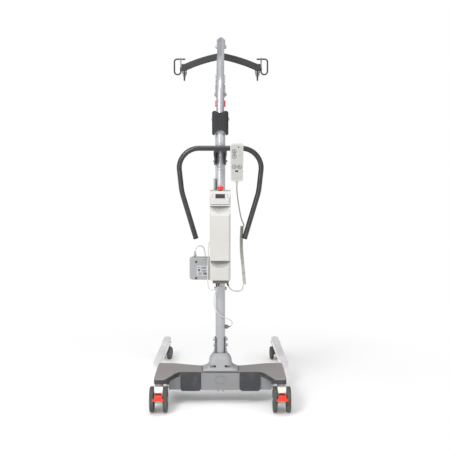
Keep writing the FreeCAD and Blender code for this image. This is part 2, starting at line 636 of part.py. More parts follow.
def spreader_arm():
    """The right-hand arm: a gently curved bar from the hub down to its end block."""
    root, tip = V(0, SPREADER_Y, SPREADER_Z), V(END_X - 6, SPREADER_Y, END_Z + 4)
    chord = tip - root
    crown = (root + tip) * 0.5 + V(-chord.z, 0, chord.x).normalize() * ARM_RISE
    spine = Part.Wire([Part.Arc(root, crown, tip).toShape()])
    edge = spine.Edges[0]
    along = edge.tangentAt(edge.FirstParameter)
    up = V(-along.z, 0, along.x)
    corners = []
    for a, b in ((-19, -11), (19, -11), (19, 11), (-19, 11)):
        corners.append(tuple(root + up * a + V(0, b, 0)))
    return spine.makePipeShell([path(corners, 5, True)], True, False)


def spreader_bar():
    """The two arms on their hub, and the end blocks."""
    y = SPREADER_Y
    hub = rod((0, y, SPREADER_Z - 24), (0, y, SPREADER_Z + 20), 19)
    bar = fused(hub, *both(spreader_arm()))
    bar = bar.cut(rod((0, y, SPREADER_Z - 40), (0, y, SPREADER_Z + 40), 8 + FIT))
    blocks = []
    for side in (1, -1):
        x = sorted((side * (END_X - 14), side * (END_X + 16)))
        blocks.append(front_plate([(x[0], END_Z - 20), (x[1], END_Z - 20), (x[1], END_Z + 22),
                                   (x[0], END_Z + 22)], 4, (y - 13, y + 13)))
    bar = bar.cut(blocks[0]).cut(blocks[1])
    lug_y, lug_z = FLAP_PIVOT
    for i, side in enumerate((1, -1)):
        for x in (END_X - 14, END_X + 10.5):
            lug = box(sorted((side * x, side * (x + 3.5))), (lug_y - 4, lug_y + 1), (lug_z - 4, END_Z - 19))
            blocks[i] = fused(blocks[i], lug)
        hinge = rod((side * (END_X - 20), lug_y, lug_z), (side * (END_X + 20), lug_y, lug_z), 1.5 + FIT)
        blocks[i] = blocks[i].cut(hinge)
    return [bar] + blocks


WIRE_R = 4.5
OUTER_HOOK_X = (END_X + 16 + WIRE_R, END_X + 57)      # inner and outer legs of the outer hook
OUTER_HOOK_Z = (END_Z - 38, END_Z + 49)
LOWER_HOOK_Z = END_Z - 70
LOWER_HOOK_Y = 18.0
GATE_PIVOT_Z = END_Z + 9          # hinge of the outer hook's gate
FLAP_PIVOT = (SPREADER_Y + 12, END_Z - 27)       # Y and Z of the hinge of the lower hook's flap


def spreader_hooks():
    """Bent wire sling hooks: one outside each end block, one hanging below it."""
    y = SPREADER_Y
    x0, x1 = OUTER_HOOK_X
    z0, z1 = OUTER_HOOK_Z
    outer = [(x0, y, END_Z), (x0, y, z0), (x1, y, z0), (x1, y, z1), (END_X - 5, y, z1)]
    low = LOWER_HOOK_Z
    lower = [(END_X, y - LOWER_HOOK_Y, END_Z - 20), (END_X, y - LOWER_HOOK_Y, low),
             (END_X, y + LOWER_HOOK_Y, low), (END_X, y + LOWER_HOOK_Y, END_Z - 34)]
    hooks = []
    wide = (x1 - x0) / 2 - 0.01
    for points, radii in ((outer, [0, wide, wide, 15, 0]), (lower, [0, 17.9, 17.9, 0])):
        hooks += both(round_bar(path(points, radii), WIRE_R))
    root = box((END_X + 16, x0 + WIRE_R), (y - 7, y + 7), (END_Z - 16, END_Z + 2))
    lug = box((x0 - 3, x0 + 3), (y - 5, y + 5), (END_Z, GATE_PIVOT_Z + 4))
    root = fused(root, lug).cut(rod((x0, y - 9, GATE_PIVOT_Z), (x0, y + 9, GATE_PIVOT_Z), 1.8 + FIT))
    shank = rod((END_X, y - LOWER_HOOK_Y, END_Z - 21), (END_X, y - LOWER_HOOK_Y, END_Z - 12), 8)
    shank = shank.common(box((0, 400), (y - 30, y + 30), (END_Z - 34, END_Z - 20)))
    joined = [fused(hooks[0], root), fused(hooks[2], shank)]
    return joined + [mirrored(shape) for shape in joined]


def outer_gate():
    """A spring gate that straddles the outer hook's free end and swings into the loop."""
    y, x, z = SPREADER_Y, OUTER_HOOK_X[0], GATE_PIVOT_Z
    cheek = front_plate([(x - 4, z - 4), (x + 4, z - 4), (x + 4, END_Z + 57), (x - 4, END_Z + 57)], 3,
                        (y + 5.5, y + 7.2))
    twin = cheek.mirror(V(0, y, 0), V(0, 1, 0))
    web = box((x - 4, x - 2), (y - 7.2, y + 7.2), (z + 8, END_Z + 41))
    pin = rod((x, y - 8.4, z), (x, y + 8.4, z), 1.8)
    return fused(cheek, twin, web, pin)


def lower_gate():
    """A spring flap, a wide V in outline, inside the lower hook's free end."""
    y, z = FLAP_PIVOT
    right = [(9.8, z), (9.8, z - 5), (15, z - 6.5), (4.5, z - 27.5)]
    outline = [(END_X - x, fz) for x, fz in right] + [(END_X + x, fz) for x, fz in reversed(right)]
    flap = front_plate(outline, [0, 0, 2, 2, 2, 2, 0, 0], (y - 1, y + 1))
    barrel = rod((END_X - 10, y, z), (END_X + 10, y, z), 3)
    pin = rod((END_X - 15, y, z), (END_X + 15, y, z), 1.5)
    return fused(flap, barrel, pin)


# ---- lift actuator ----
ACTUATOR_LENGTH = math.hypot(CLEVIS_PIN[0] - FOOT_PIN[0], CLEVIS_PIN[1] - FOOT_PIN[1])
ACTUATOR_LEAN = math.degrees(math.atan2(CLEVIS_PIN[0] - FOOT_PIN[0], CLEVIS_PIN[1] - FOOT_PIN[1]))


def leaned(shape):
    """Actuator pieces are made upright over the foot pin, then leaned forward with it."""
    shape.rotate(V(0, *FOOT_PIN), V(1, 0, 0), -ACTUATOR_LEAN)
    return shape


def actuator_motor_housing():
    """Gearbox and side motor in one moulded housing, with the foot eye below."""
    y, z = FOOT_PIN
    low, high = z + 48, z + 160
    body = front_plate([(-155, low), (34, low), (34, high), (-155, high)], [16, 8, 8, 16],
                       (y - 37, y + 37))
    rims = [e for e in body.Edges if e.BoundBox.YLength < 0.01]
    body = body.makeFillet(5, rims)
    body = body.cut(rod((0, y, z + 90), (0, y, high + 5), 22))
    neck = block((-14, 14), (y - 15, y + 15), (z + 4, low + 2), 4)
    eye = rod((-15, y, z), (15, y, z), 14)
    gland = rod((-128, y + 4, high - 1), (-128, y + 4, high + 5), 5)
    housing = fused(body, neck, eye, gland).cut(rod((-20, y, z), (20, y, z), 6 + FIT))
    screws = []
    for sx, sz in ((-122, high - 22), (-122, low + 8), (20, high - 22), (20, low + 8)):
        screws.append(rod((sx, y - 38.2, sz), (sx, y - 36, sz), 4.5))
        housing = housing.cut(screws[-1])
    return [leaned(shape) for shape in [housing] + screws]


def actuator_outer_tube():
    y, z = FOOT_PIN
    tube = ring((0, y, z + 92), (0, y, z + 692), 21, 14)
    collar = ring((0, y, z + 686), (0, y, z + 704), 22.5, 10.4)
    return leaned(fused(tube, collar))


def actuator_rod():
    """The lifting rod and its eye, whose hole clears the stub pins of the clevis."""
    y, z = FOOT_PIN
    top = z + ACTUATOR_LENGTH
    shaft = rod((0, y, z + 310), (0, y, top - 12), 10)
    nut = rod((0, y, z + 300), (0, y, z + 322), 13.7)
    eye = rod((-16, y, top), (16, y, top), 15).cut(rod((-20, y, top), (20, y, top), 8))
    neck = rod((0, y, top - 30), (0, y, top - 12), 13)
    neck = neck.cut(rod((-20, y, top), (20, y, top), 14))
    return leaned(fused(shaft, nut, neck, eye))


def lowering_ring():
    """The red sleeve under the rod's eye that winds the boom down by hand."""
    y, z = FOOT_PIN
    top = z + ACTUATOR_LENGTH
    body = ring((0, y, top - 62), (0, y, top - 31), 26, 10.4)
    for step in range(12):
        angle = math.radians(30 * step)
        flute = rod((28.5 * math.cos(angle), y + 28.5 * math.sin(angle), top - 63),
                    (28.5 * math.cos(angle), y + 28.5 * math.sin(angle), top - 30), 4)
        body = body.cut(flute)
    return leaned(body)


# ---- legs and their actuator ----
LEG_KNEE = (341.0, REAR_WHEEL_Y + 452.0)
LEG_TIP = (317.0, REAR_WHEEL_Y + 1041.0)


def between(a, b, share):
    return tuple(p + (q - p) * share for p, q in zip(a, b))


def section(start, towards, width, z, radius):
    """A rounded rectangle across a level run, standing at its start."""
    along = V(towards[0] - start[0], towards[1] - start[1], 0).normalize()
    across = V(along.y, -along.x, 0) * (width / 2)
    low, high = V(start[0], start[1], z[0]), V(start[0], start[1], z[1])
    corners = [low - across, low + across, high + across, high - across]
    return path([tuple(c) for c in corners], radius, True)


def leg():
    """The right-hand leg: pivot casting with its crank, bent tube, and caster block at the tip."""
    mid = (LEG_LOW + LEG_HIGH) / 2
    tube_start = between(LEG_PIVOT, LEG_KNEE, 0.60)
    seam = between(LEG_PIVOT, LEG_KNEE, 0.74)
    tube_end = between(LEG_KNEE, LEG_TIP, 0.93)
    spine = path([(*tube_start, mid), (*LEG_KNEE, mid), (*tube_end, mid)], [0, 170, 0])
    outer = section(tube_start, LEG_KNEE, LEG_WIDTH, (LEG_LOW, LEG_HIGH), 9)
    inner = section(tube_start, LEG_KNEE, LEG_WIDTH - 5, (LEG_LOW + 2.5, LEG_HIGH - 2.5), 6.5)
    solid_tube = spine.makePipeShell([outer], True, True)
    tube = solid_tube.cut(spine.makePipeShell([inner], True, True))
    px, py = LEG_PIVOT
    run = path([(px, py, mid), (*seam, mid)], 0)
    arm = run.makePipeShell([section(LEG_PIVOT, LEG_KNEE, 48, (66, 124), 10)], True, True)
    crank = fused(box((px - 13, px + 13), (CRANK_PIN_Y, py), (80, 88)),
                  rod((px, CRANK_PIN_Y, 80), (px, CRANK_PIN_Y, 88), 13),
                  rod((px, CRANK_PIN_Y, 80), (px, CRANK_PIN_Y, 112), 5))
    casting = fused(arm, rod((px, py, 63), (px, py, 147), 29), crank)
    casting = casting.cut(solid_tube).cut(rod((px, py, 60), (px, py, 150), 10))
    tip_x, tip_y = LEG_TIP
    toe = section(tube_end, LEG_TIP, LEG_WIDTH, (LEG_LOW, LEG_HIGH), 9)
    toe = path([(*tube_end, mid), (*LEG_TIP, mid)], 0).makePipeShell([toe], True, True)
    nose = rod((tip_x, tip_y, LEG_LOW), (tip_x, tip_y, LEG_HIGH), LEG_WIDTH / 2)
    rims = [e for e in nose.Edges if e.BoundBox.ZLength < 0.01]
    toe = fused(toe, nose.makeFillet(6, rims))
    stem_y = FRONT_WHEEL_Y + FRONT_TRAIL
    toe = toe.cut(rod((FRONT_CASTER_X, stem_y, 80), (FRONT_CASTER_X, stem_y, 112), 5 + FIT))
    bolt_y = tip_y - 42
    bolt_x = tip_x + 1.7
    toe = toe.cut(rod((bolt_x - 30, bolt_y, mid), (bolt_x + 30, bolt_y, mid), 4))
    bolt = fused(rod((bolt_x - 22, bolt_y, mid), (bolt_x + 22, bolt_y, mid), 4),
                 hexagon((bolt_x + 21.2, bolt_y, mid), (bolt_x + 28, bolt_y, mid), 15),
                 hexagon((bolt_x - 28, bolt_y, mid), (bolt_x - 21.2, bolt_y, mid), 15))
    return [casting, tube, toe, bolt]


def leg_actuator_housing():
    """Lies across the base. Its eye turns on the left leg's crank pin."""
    x, y, z = -LEG_PIVOT[0], CRANK_PIN_Y, 100
    eye = rod((x, y, z - 8), (x, y, z + 8), 12)
    neck = box((x, x + 24), (y - 7, y + 7), (z - 7, z + 7))
    gearbox = block((x + 20, x + 96), (y - 26, y + 26), (z - 22, z + 22), 8)
    barrel = rod((x + 90, y, z), (x + 262, y, z), 18)
    body = fused(eye, neck, gearbox, barrel).cut(rod((x, y, z - 20), (x, y, z + 20), 5 + FIT))
    return body.cut(rod((x + 150, y, z), (x + 270, y, z), 8 + 0.4))


def leg_actuator_rod():
    """Slides in the housing. Its eye clears the right leg's crank pin."""
    x, y, z = LEG_PIVOT[0], CRANK_PIN_Y, 100
    shaft = rod((-70, y, z), (x - 10, y, z), 8)
    eye = rod((x, y, z - 8), (x, y, z + 8), 12)
    return fused(shaft, eye).cut(rod((x, y, z - 20), (x, y, z + 20), 5.6))


# ---- casters ----
def wheel(x, y, diameter, width):
    """One wheel with a rounded tread, a dished side and a bore for the axle."""
    r = diameter / 2
    edge = width * 0.32
    profile = [(x - width / 2, 4 + FIT), (x + width / 2, 4 + FIT), (x + width / 2, 12),
               (x + width / 2 - 2, 14), (x + width / 2 - 2, r - 12), (x + width / 2, r - 10),
               (x + width / 2, r), (x - width / 2, r), (x - width / 2, r - 10),
               (x - width / 2 + 2, r - 12), (x - width / 2 + 2, 14), (x - width / 2, 12)]
    radii = [0, 0, 0, 0, 0, 0, edge, edge, 0, 0, 0, 0]
    face = Part.Face(path([(px, y, pr + r) for px, pr in profile], radii, True))
    return face.revolve(V(x, y, r), V(1, 0, 0), 360)


def rear_caster():
    """The right-hand rear caster: housing with stem and axle, two wheels and the brake pedal."""
    x, y, r = REAR_CASTER_X, REAR_WHEEL_Y, REAR_WHEEL_D / 2
    half = REAR_WHEEL_GAP / 2 - 1.2
    body = side_plate([(y + 46, 126), (y + 46, 74), (y + 18, 44), (y - 18, 44), (y - 25, 62),
                       (y - 25, 104), (y - 2, 126)], [10, 18, 18, 14, 4, 12, 10], (x - half, x + half))
    neck = rod((x, y + REAR_TRAIL, 120), (x, y + REAR_TRAIL, 137.4), 19)
    collar = rod((x, y + REAR_TRAIL, 137), (x, y + REAR_TRAIL, 139.4), 12)
    stem = rod((x, y + REAR_TRAIL, 139), (x, y + REAR_TRAIL, 152), 6)
    slot = box((x - 14.5, x + 14.5), (y - 40, y - 4), (60, 100))
    housing = fused(body, neck, collar, stem).cut(slot)
    pivot_y, pivot_z = PEDAL_PIVOT
    housing = housing.cut(rod((x - 30, pivot_y, pivot_z), (x + 30, pivot_y, pivot_z), 3 + FIT))
    axle_half = REAR_WHEEL_GAP / 2 + REAR_WHEEL_W + 1
    housing = housing.cut(rod((x - 50, y, r), (x + 50, y, r), 4))
    axle = rod((x - axle_half, y, r), (x + axle_half, y, r), 4)
    caps = [rod((x + s * axle_half, y, r), (x + s * (axle_half + 1.5), y, r), 8) for s in (1, -1)]
    offset = REAR_WHEEL_GAP / 2 + REAR_WHEEL_W / 2
    wheels = [wheel(x + s * offset, y, REAR_WHEEL_D, REAR_WHEEL_W) for s in (-1, 1)]
    return [housing, fused(axle, *caps)], wheels, brake_pedal(x, y)


PEDAL_PIVOT = (REAR_WHEEL_Y - 13.0, 84.0)


def brake_pedal(x, y):
    """A red pedal: an arm in the housing's slot with a sloping tread, and a wide foot edge on it."""
    pivot_y, pivot_z = PEDAL_PIVOT
    arm = box((x - 13.5, x + 13.5), (y - 36, pivot_y), (pivot_z - 7, pivot_z + 9))
    barrel = rod((x - 13.5, pivot_y, pivot_z), (x + 13.5, pivot_y, pivot_z), 8)
    pin = rod((x - 20, pivot_y, pivot_z), (x + 20, pivot_y, pivot_z), 3)
    tread_rings = []
    for z, half, rear, front in ((77, 20, 72, 33), (84, 20, 72, 33), (93, 18.5, 55, 33)):
        corners = [(x - half, y - rear), (x + half, y - rear), (x + half, y - front), (x - half, y - front)]
        tread_rings.append(Part.makePolygon([V(cx, cy, z) for cx, cy in corners + corners[:1]]))
    tread = Part.makeLoft(tread_rings, True, True)
    edge = plan_plate([(x - 28.5, y - 78), (x + 28.5, y - 78), (x + 28.5, y - 67), (x - 28.5, y - 67)],
                      [5, 5, 2, 2], (75, 84))
    return [fused(arm, barrel, pin, tread), edge.cut(tread)]


def front_caster(yaw):
    """The right-hand front caster: housing with stem and axle, and two wheels."""
    x, y, r = FRONT_CASTER_X, FRONT_WHEEL_Y, FRONT_WHEEL_D / 2
    half = FRONT_WHEEL_GAP / 2 - 1.2
    stem_y = y + FRONT_TRAIL
    body = side_plate([(stem_y + 16, 80), (stem_y + 12, 54), (y + 4, 26), (y - 12, 30), (y - 14, 60),
                       (y + 4, 80)], [3, 12, 10, 8, 16, 4], (x - half, x + half))
    neck = rod((x, stem_y, 77), (x, stem_y, LEG_LOW - 0.6), 16)
    stem = rod((x, stem_y, 84), (x, stem_y, 110), 5)
    housing = fused(body, neck, stem).cut(rod((x - 40, y, r), (x + 40, y, r), 4))
    axle_half = FRONT_WHEEL_GAP / 2 + FRONT_WHEEL_W + 0.6
    axle = rod((x - axle_half, y, r), (x + axle_half, y, r), 4)
    offset = (FRONT_WHEEL_GAP + FRONT_WHEEL_W) / 2
    wheels = [wheel(x + s * offset, y, FRONT_WHEEL_D, FRONT_WHEEL_W) for s in (-1, 1)]
    pieces = [housing, axle] + wheels
    for piece in pieces:
        piece.rotate(V(x, stem_y, 0), V(0, 0, 1), yaw)
    return pieces[:2], pieces[2:]


# ---- the whole hoist ----
def main():
    os.makedirs("parts", exist_ok=True)
    save("base_frame", *base_frame())
    save("base_cover", base_cover())
    save("rubber_bumpers", *bumper_band(), *foot_pads())
    save("centre_plate", centre_plate())
    save("mast_cover", mast_cover())
    save("mast_socket", mast_socket())
    save("mast_tube", mast_tube())
    save("chassis_fasteners", *chassis_fasteners())
    save("mast_head_fork", mast_head_fork())
    save("mast_head_shroud", mast_head_shroud())
    save("boom_pivot_pin", boom_pivot_pin())
    save("push_handle", *push_handle())
    save("handle_bracket", handle_bracket())
    save("mast_brackets", *mast_brackets())
    save("control_box", control_box())
    save("battery_pack", battery_pack())
    save("emergency_stop_button", estop_button())
    save("handset_shell", handset_shell())
    for node, (x, z) in HANDSET_BUTTONS.items():
        save(node, handset_button(x, z))
    save("handset_cord_lead", cord_tube(CORD_LEAD, CORD_D, "handset cord, lead"))
    save("handset_cord_coil", cord_tube(CORD_COIL, COIL_D, "handset cord, curly stretch"))
    save("handset_cord_tail", cord_tube(CORD_TAIL, CORD_D, "handset cord, tail"))
    save("handset_plug", handset_plug())
    save("lift_motor_lead", cord_tube(LIFT_LEAD, LEAD_D, "lift motor lead"))
    save("leg_motor_lead", cord_tube(LEG_LEAD, LEAD_D, "leg motor lead"))
    save("lead_connectors", *lead_connectors())
    save("boom_tube", *boom_tube())
    save("boom_brackets", *boom_brackets())
    save("hanger_link", hanger_link())
    save("spreader_bar", *spreader_bar())
    save("spreader_hooks", *spreader_hooks())
    save("lift_actuator_housing", *actuator_motor_housing())
    save("lift_actuator_tube", actuator_outer_tube())
    save("lift_actuator_rod", actuator_rod())
    save("lowering_ring", lowering_ring())
    save("leg_actuator_housing", leg_actuator_housing())
    save("leg_actuator_rod", leg_actuator_rod())
    leg_solids = leg()
    rear_housing, rear_wheels, pedal = rear_caster()
    for side in ("left", "right"):
        save(f"outer_hook_gate_{side}", sided(outer_gate(), side))
        save(f"lower_hook_gate_{side}", sided(lower_gate(), side))
        save(f"leg_{side}", *[sided(solid, side) for solid in leg_solids])
        save(f"rear_caster_housing_{side}", *[sided(solid, side) for solid in rear_housing])
        for place, solid in zip(("inner", "outer"), rear_wheels):
            save(f"rear_wheel_{place}_{side}", sided(solid, side))
        save(f"brake_pedal_{side}", *[sided(solid, side) for solid in pedal])
        housing, wheels = front_caster(FRONT_YAW[side])
        save(f"front_caster_housing_{side}", *[sided(solid, side) for solid in housing])
        for place, solid in zip(("inner", "outer"), wheels):
            save(f"front_wheel_{place}_{side}", sided(solid, side))


main()
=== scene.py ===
import json
import math

import bmesh
import bpy
from mathutils import Matrix, Vector

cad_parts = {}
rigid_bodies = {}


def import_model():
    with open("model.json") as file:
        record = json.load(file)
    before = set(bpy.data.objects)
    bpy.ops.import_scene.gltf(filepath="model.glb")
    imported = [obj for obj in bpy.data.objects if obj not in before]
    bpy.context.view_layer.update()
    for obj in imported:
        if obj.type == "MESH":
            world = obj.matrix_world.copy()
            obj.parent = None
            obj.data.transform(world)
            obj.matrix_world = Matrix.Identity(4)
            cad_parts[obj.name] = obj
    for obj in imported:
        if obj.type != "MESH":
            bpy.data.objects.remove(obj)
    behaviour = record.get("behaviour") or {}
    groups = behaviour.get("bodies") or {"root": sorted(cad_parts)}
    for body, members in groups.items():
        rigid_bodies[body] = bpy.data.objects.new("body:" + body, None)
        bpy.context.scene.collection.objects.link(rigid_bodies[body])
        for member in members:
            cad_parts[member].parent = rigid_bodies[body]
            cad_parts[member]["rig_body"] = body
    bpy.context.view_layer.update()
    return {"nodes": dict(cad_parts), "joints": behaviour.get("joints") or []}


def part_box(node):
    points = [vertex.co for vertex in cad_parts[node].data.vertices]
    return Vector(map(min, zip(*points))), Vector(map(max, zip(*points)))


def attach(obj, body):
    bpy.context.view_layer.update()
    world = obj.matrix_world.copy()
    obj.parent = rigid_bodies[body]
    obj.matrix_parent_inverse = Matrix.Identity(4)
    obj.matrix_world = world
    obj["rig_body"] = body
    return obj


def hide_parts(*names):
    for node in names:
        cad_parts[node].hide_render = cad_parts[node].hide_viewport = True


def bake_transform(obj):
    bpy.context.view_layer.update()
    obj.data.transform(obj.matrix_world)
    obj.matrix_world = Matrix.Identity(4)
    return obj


# The looks of a mobile patient lift hoist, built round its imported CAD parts. Metres, +Z up,
# +Y forward (the way the legs and the boom point), +X to the right of an attendant behind the mast.

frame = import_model()
NODES = frame["nodes"]
JOINT_OF = {joint["child"]: joint for joint in frame["joints"]}
SIDES = (("left", -1), ("right", 1))

# ---- places that the CAD parts share ----
MAST_Y = -0.292
UNIT_REAR_Y = -0.426             # rear face of the control unit
UNIT_SLOPE = (0.017, 0.037)      # how far forward and up its display face leans
STOP_Y = UNIT_REAR_Y + 0.046     # axis of the emergency stop
STOP_BASE_Z = 1.0669
HANDSET_X = 0.080
HANDSET_REAR_Y = -0.404
KEYPAD_Z = 1.205                 # height of the keypad film's origin
SLEEVE_TOP = (HANDSET_X, -0.392, 1.1142)
HANDLE_END = Vector((0.120, -0.362, 0.836))
HANDLE_KNEE = Vector((0.187, -0.362, 1.062))
FOOT_PIN = Vector((0, -0.220, 0.557))
CLEVIS_PIN = Vector((0, -0.152, 1.532))
SPREADER_Y = 0.546
END_X = 0.209                    # middle of the block on each end of the spreader
END_Z = 1.694
REAR_AXLE = Vector((0.298, -0.492, 0.0625))
REAR_WHEEL_W = 0.021
FRONT_WHEEL_W = 0.018
TYRE_DEPTH = 0.0105              # from the tread in to the rim
TYRE_WALL = 0.006
PEDAL_SLOPE = Vector((0, 0.017, 0.009)).normalized()

# ---- how finely round shapes are cut, and how edges are shaded ----
TURN_STEPS = 64
TUBE_STEPS = 12
CORNER_STEPS = 6
CREASE = math.radians(35.0)      # edges sharper than this stay sharp

# ---- cords: diameters, real lengths, and routes as control points ----
CORD_D = 0.0055
COIL_D = 0.017
LEAD_D = 0.0046
COIL_TURNS = 47
POINTS_PER_TURN = 14
CORD_LEAD = [(0.0800, -0.3920, 1.0930), (0.0800, -0.3920, 1.0660), (0.0860, -0.3845, 1.0200),
             (0.0940, -0.3740, 0.9680), (0.1035, -0.3590, 0.9240)]
CORD_INTO_COIL = [(0.1115, -0.3525, 0.9060), (0.1165, -0.3500, 0.8960), (0.1135, -0.3490, 0.8905)]
CORD_COIL = [(0.1065, -0.3430, 0.8890), (0.1035, -0.3380, 0.8420), (0.1030, -0.3350, 0.7850),
             (0.1080, -0.3350, 0.7220), (0.1150, -0.3370, 0.6600), (0.1190, -0.3410, 0.6030)]
CORD_OUT_OF_COIL = [(0.1140, -0.3470, 0.6000), (0.1100, -0.3475, 0.5930), (0.1120, -0.3485, 0.5820)]
CORD_TAIL = [(0.1050, -0.3515, 0.5715),
             (0.0830, -0.3570, 0.5670), (0.0600, -0.3625, 0.5730), (0.0430, -0.3675, 0.5880),
             (0.0360, -0.3700, 0.6070)]
LIFT_LEAD = [(-0.1280, -0.2240, 0.7226), (-0.1280, -0.2220, 0.7420), (-0.1220, -0.2120, 0.7640),
             (-0.1040, -0.1950, 0.7750), (-0.0860, -0.1720, 0.7630), (-0.0790, -0.1530, 0.7350),
             (-0.0780, -0.1485, 0.7020), (-0.0660, -0.1485, 0.6890), (-0.0480, -0.1500, 0.6890),
             (-0.0365, -0.1530, 0.7020), (-0.0350, -0.1610, 0.7260), (-0.0350, -0.1790, 0.7510),
             (-0.0360, -0.2130, 0.7720), (-0.0410, -0.2500, 0.7950), (-0.0490, -0.2880, 0.8080),
             (-0.0560, -0.3220, 0.8030), (-0.0585, -0.3430, 0.7800), (-0.0590, -0.3500, 0.7420),
             (-0.0610, -0.3550, 0.6950), (-0.0625, -0.3580, 0.6500), (-0.0615, -0.3610, 0.6140),
             (-0.0600, -0.3630, 0.5910), (-0.0520, -0.3645, 0.5790), (-0.0390, -0.3665, 0.5750),
             (-0.0260, -0.3680, 0.5790), (-0.0180, -0.3690, 0.5900), (-0.0180, -0.3690, 0.6040)]
LEG_LEAD = [(-0.0080, -0.3500, 0.6040), (-0.0080, -0.3500, 0.5900), (-0.0200, -0.3380, 0.5680),
            (-0.0320, -0.3260, 0.5380), (-0.0330, -0.3220, 0.5000), (-0.0220, -0.3220, 0.4640),
            (0.0000, -0.3220, 0.4400), (0.0240, -0.3210, 0.4280), (0.0420, -0.3140, 0.4200),
            (0.0560, -0.3050, 0.4080), (0.0610, -0.2970, 0.3930), (0.0540, -0.2925, 0.3800),
            (0.0380, -0.2920, 0.3760)]


# ---- shader helpers ----
def tone(red, green, blue):
    """A display colour, 0 to 255, as the linear values that a shader takes."""
    return tuple((c / 255 / 12.92) if c < 11 else ((c / 255 + 0.055) / 1.055) ** 2.4
                 for c in (red, green, blue))


def scaled(colour, share):
    """The colour made darker or lighter, no channel above 1."""
    return tuple(min(c * share, 1.0) for c in colour)


class Finish:
    """One material, with short calls for its shader nodes. Patterns follow the mesh."""

    def __init__(self, name, metallic=0.0, coat=0.0, specular=0.5):
        self.material = bpy.data.materials.new(name)
        self.material.use_nodes = True
        self.nodes = self.material.node_tree.nodes
        self.links = self.material.node_tree.links
        self.surface = self.nodes["Principled BSDF"].inputs
        self.surface["Metallic"].default_value = metallic
        self.surface["Coat Weight"].default_value = coat
        self.surface["Coat Roughness"].default_value = 0.18
        self.surface["Specular IOR Level"].default_value = specular
        self.place = self.nodes.new("ShaderNodeTexCoord").outputs["Object"]
        self.normal = None

    def feed(self, socket, value):
        if isinstance(value, bpy.types.NodeSocket):
            self.links.new(value, socket)
        elif socket.type == "RGBA":
            socket.default_value = (*value, 1.0)
        else:
            socket.default_value = value

    def node(self, kind, inputs=None, **settings):
        node = self.nodes.new("ShaderNode" + kind)
        for key, value in settings.items():
            setattr(node, key, value)
        for socket, value in (inputs or {}).items():
            self.feed(node.inputs[socket], value)
        return node

    def noise(self, scale, detail=3.0, stretch=None):
        place = self.place
        if stretch:
            place = self.node("Mapping", {"Vector": place, "Scale": stretch}).outputs["Vector"]
        inputs = {"Vector": place, "Scale": scale, "Detail": detail}
        return self.node("TexNoise", inputs).outputs["Fac"]

    def cells(self, scale):
        inputs = {"Vector": self.place, "Scale": scale}
        return self.node("TexVoronoi", inputs).outputs["Distance"]

    def fade(self, value, low, high, start=0.0, end=1.0):
        """Smoothly from start, where the value is low, to end, where it is high."""
        ranged = self.node("MapRange", {"Value": value, "From Min": low, "From Max": high,
                                        "To Min": start, "To Max": end},
                           interpolation_type="SMOOTHSTEP")
        return ranged.outputs["Result"]

    def maths(self, operation, first, second):
        return self.node("Math", {0: first, 1: second}, operation=operation).outputs[0]

    def mix(self, share, first, second):
        return self.node("Mix", {0: share, 6: first, 7: second}, data_type="RGBA").outputs[2]

    def axis(self, letter):
        return self.node("SeparateXYZ", {0: self.place}).outputs[letter]

    def round_edges(self, radius):
        """Softens sharp edges in the shading and returns a mask that is 1 along them."""
        bevel = self.node("Bevel", {"Radius": radius}, samples=4).outputs["Normal"]
        flat = self.nodes.new("ShaderNodeNewGeometry").outputs["Normal"]
        same = self.node("VectorMath", {0: bevel, 1: flat}, operation="DOT_PRODUCT")
        self.normal = bevel
        return self.fade(same.outputs["Value"], 0.99, 0.86)

    def painted_corner_shade(self, reach):
        """A mask that is 1 deep in corners and gaps, for painted shade where little light comes."""
        open_sky = self.node("AmbientOcclusion", {"Distance": reach}, samples=6).outputs["AO"]
        return self.fade(open_sky, 0.25, 0.95, 1.0, 0.0)

    def bump(self, height, depth):
        """Adds relief of the given depth in metres."""
        inputs = {"Height": height, "Strength": 1.0, "Distance": depth}
        if self.normal is not None:
            inputs["Normal"] = self.normal
        self.normal = self.node("Bump", inputs).outputs["Normal"]

    def done(self, colour, roughness):
        """Connects what was made and returns the material."""
        self.feed(self.surface["Base Color"], colour)
        self.feed(self.surface["Roughness"], roughness)
        if self.normal is not None:
            self.links.new(self.normal, self.surface["Normal"])
        return self.material


# ---- materials ----
def painted(name, colour, roughness, metallic=0.0, coat=0.25, peel=0.00004, chips=0.5, bare=None,
            grime_and_shade=None):
    """Powder coat: orange peel, faint clouding and flake, hairline scratches, and chipped edges.

    Given two heights, painted shade darkens the paint below the first and is gone above the second."""
    f = Finish(name, metallic=metallic, coat=coat)
    edge = f.round_edges(0.0012)
    cloud = f.noise(7.0, 4.0)
    base = f.mix(f.fade(cloud, 0.3, 0.7), scaled(colour, 0.92), scaled(colour, 1.06))
    flake = f.noise(2600.0, 1.0)
    base = f.mix(f.fade(flake, 0.62, 0.78, 0.0, 0.16), base, scaled(colour, 1.45))
    scratch = f.fade(f.noise(34.0, 6.0, stretch=(1.0, 9.0, 0.35)), 0.66, 0.70)
    base = f.mix(f.maths("MULTIPLY", scratch, 0.18), base, scaled(colour, 1.35))
    broken = f.fade(f.noise(160.0, 5.0), 0.52, 0.60)
    chip = f.maths("MULTIPLY", f.maths("MULTIPLY", edge, broken), chips)
    base = f.mix(chip, base, bare or scaled(colour, 1.6))
    # painted shade: given two heights, the paint is darker towards the bottom
    if grime_and_shade:
        painted_low_shade = f.fade(f.axis("Z"), *grime_and_shade, 0.55, 0.0)
        base = f.mix(painted_low_shade, base, scaled(colour, 0.55))
    # painted shade: corners and gaps darkened towards a third of the colour
    base = f.mix(f.maths("MULTIPLY", f.painted_corner_shade(0.020), 0.45), base, scaled(colour, 0.30))
    f.bump(f.noise(420.0, 2.0), peel)
    f.bump(f.maths("MULTIPLY", scratch, -1.0), 0.00003)
    rough = f.fade(cloud, 0.25, 0.75, roughness - 0.05, roughness + 0.07)
    return f.done(base, f.maths("ADD", rough, f.maths("MULTIPLY", scratch, 0.15)))


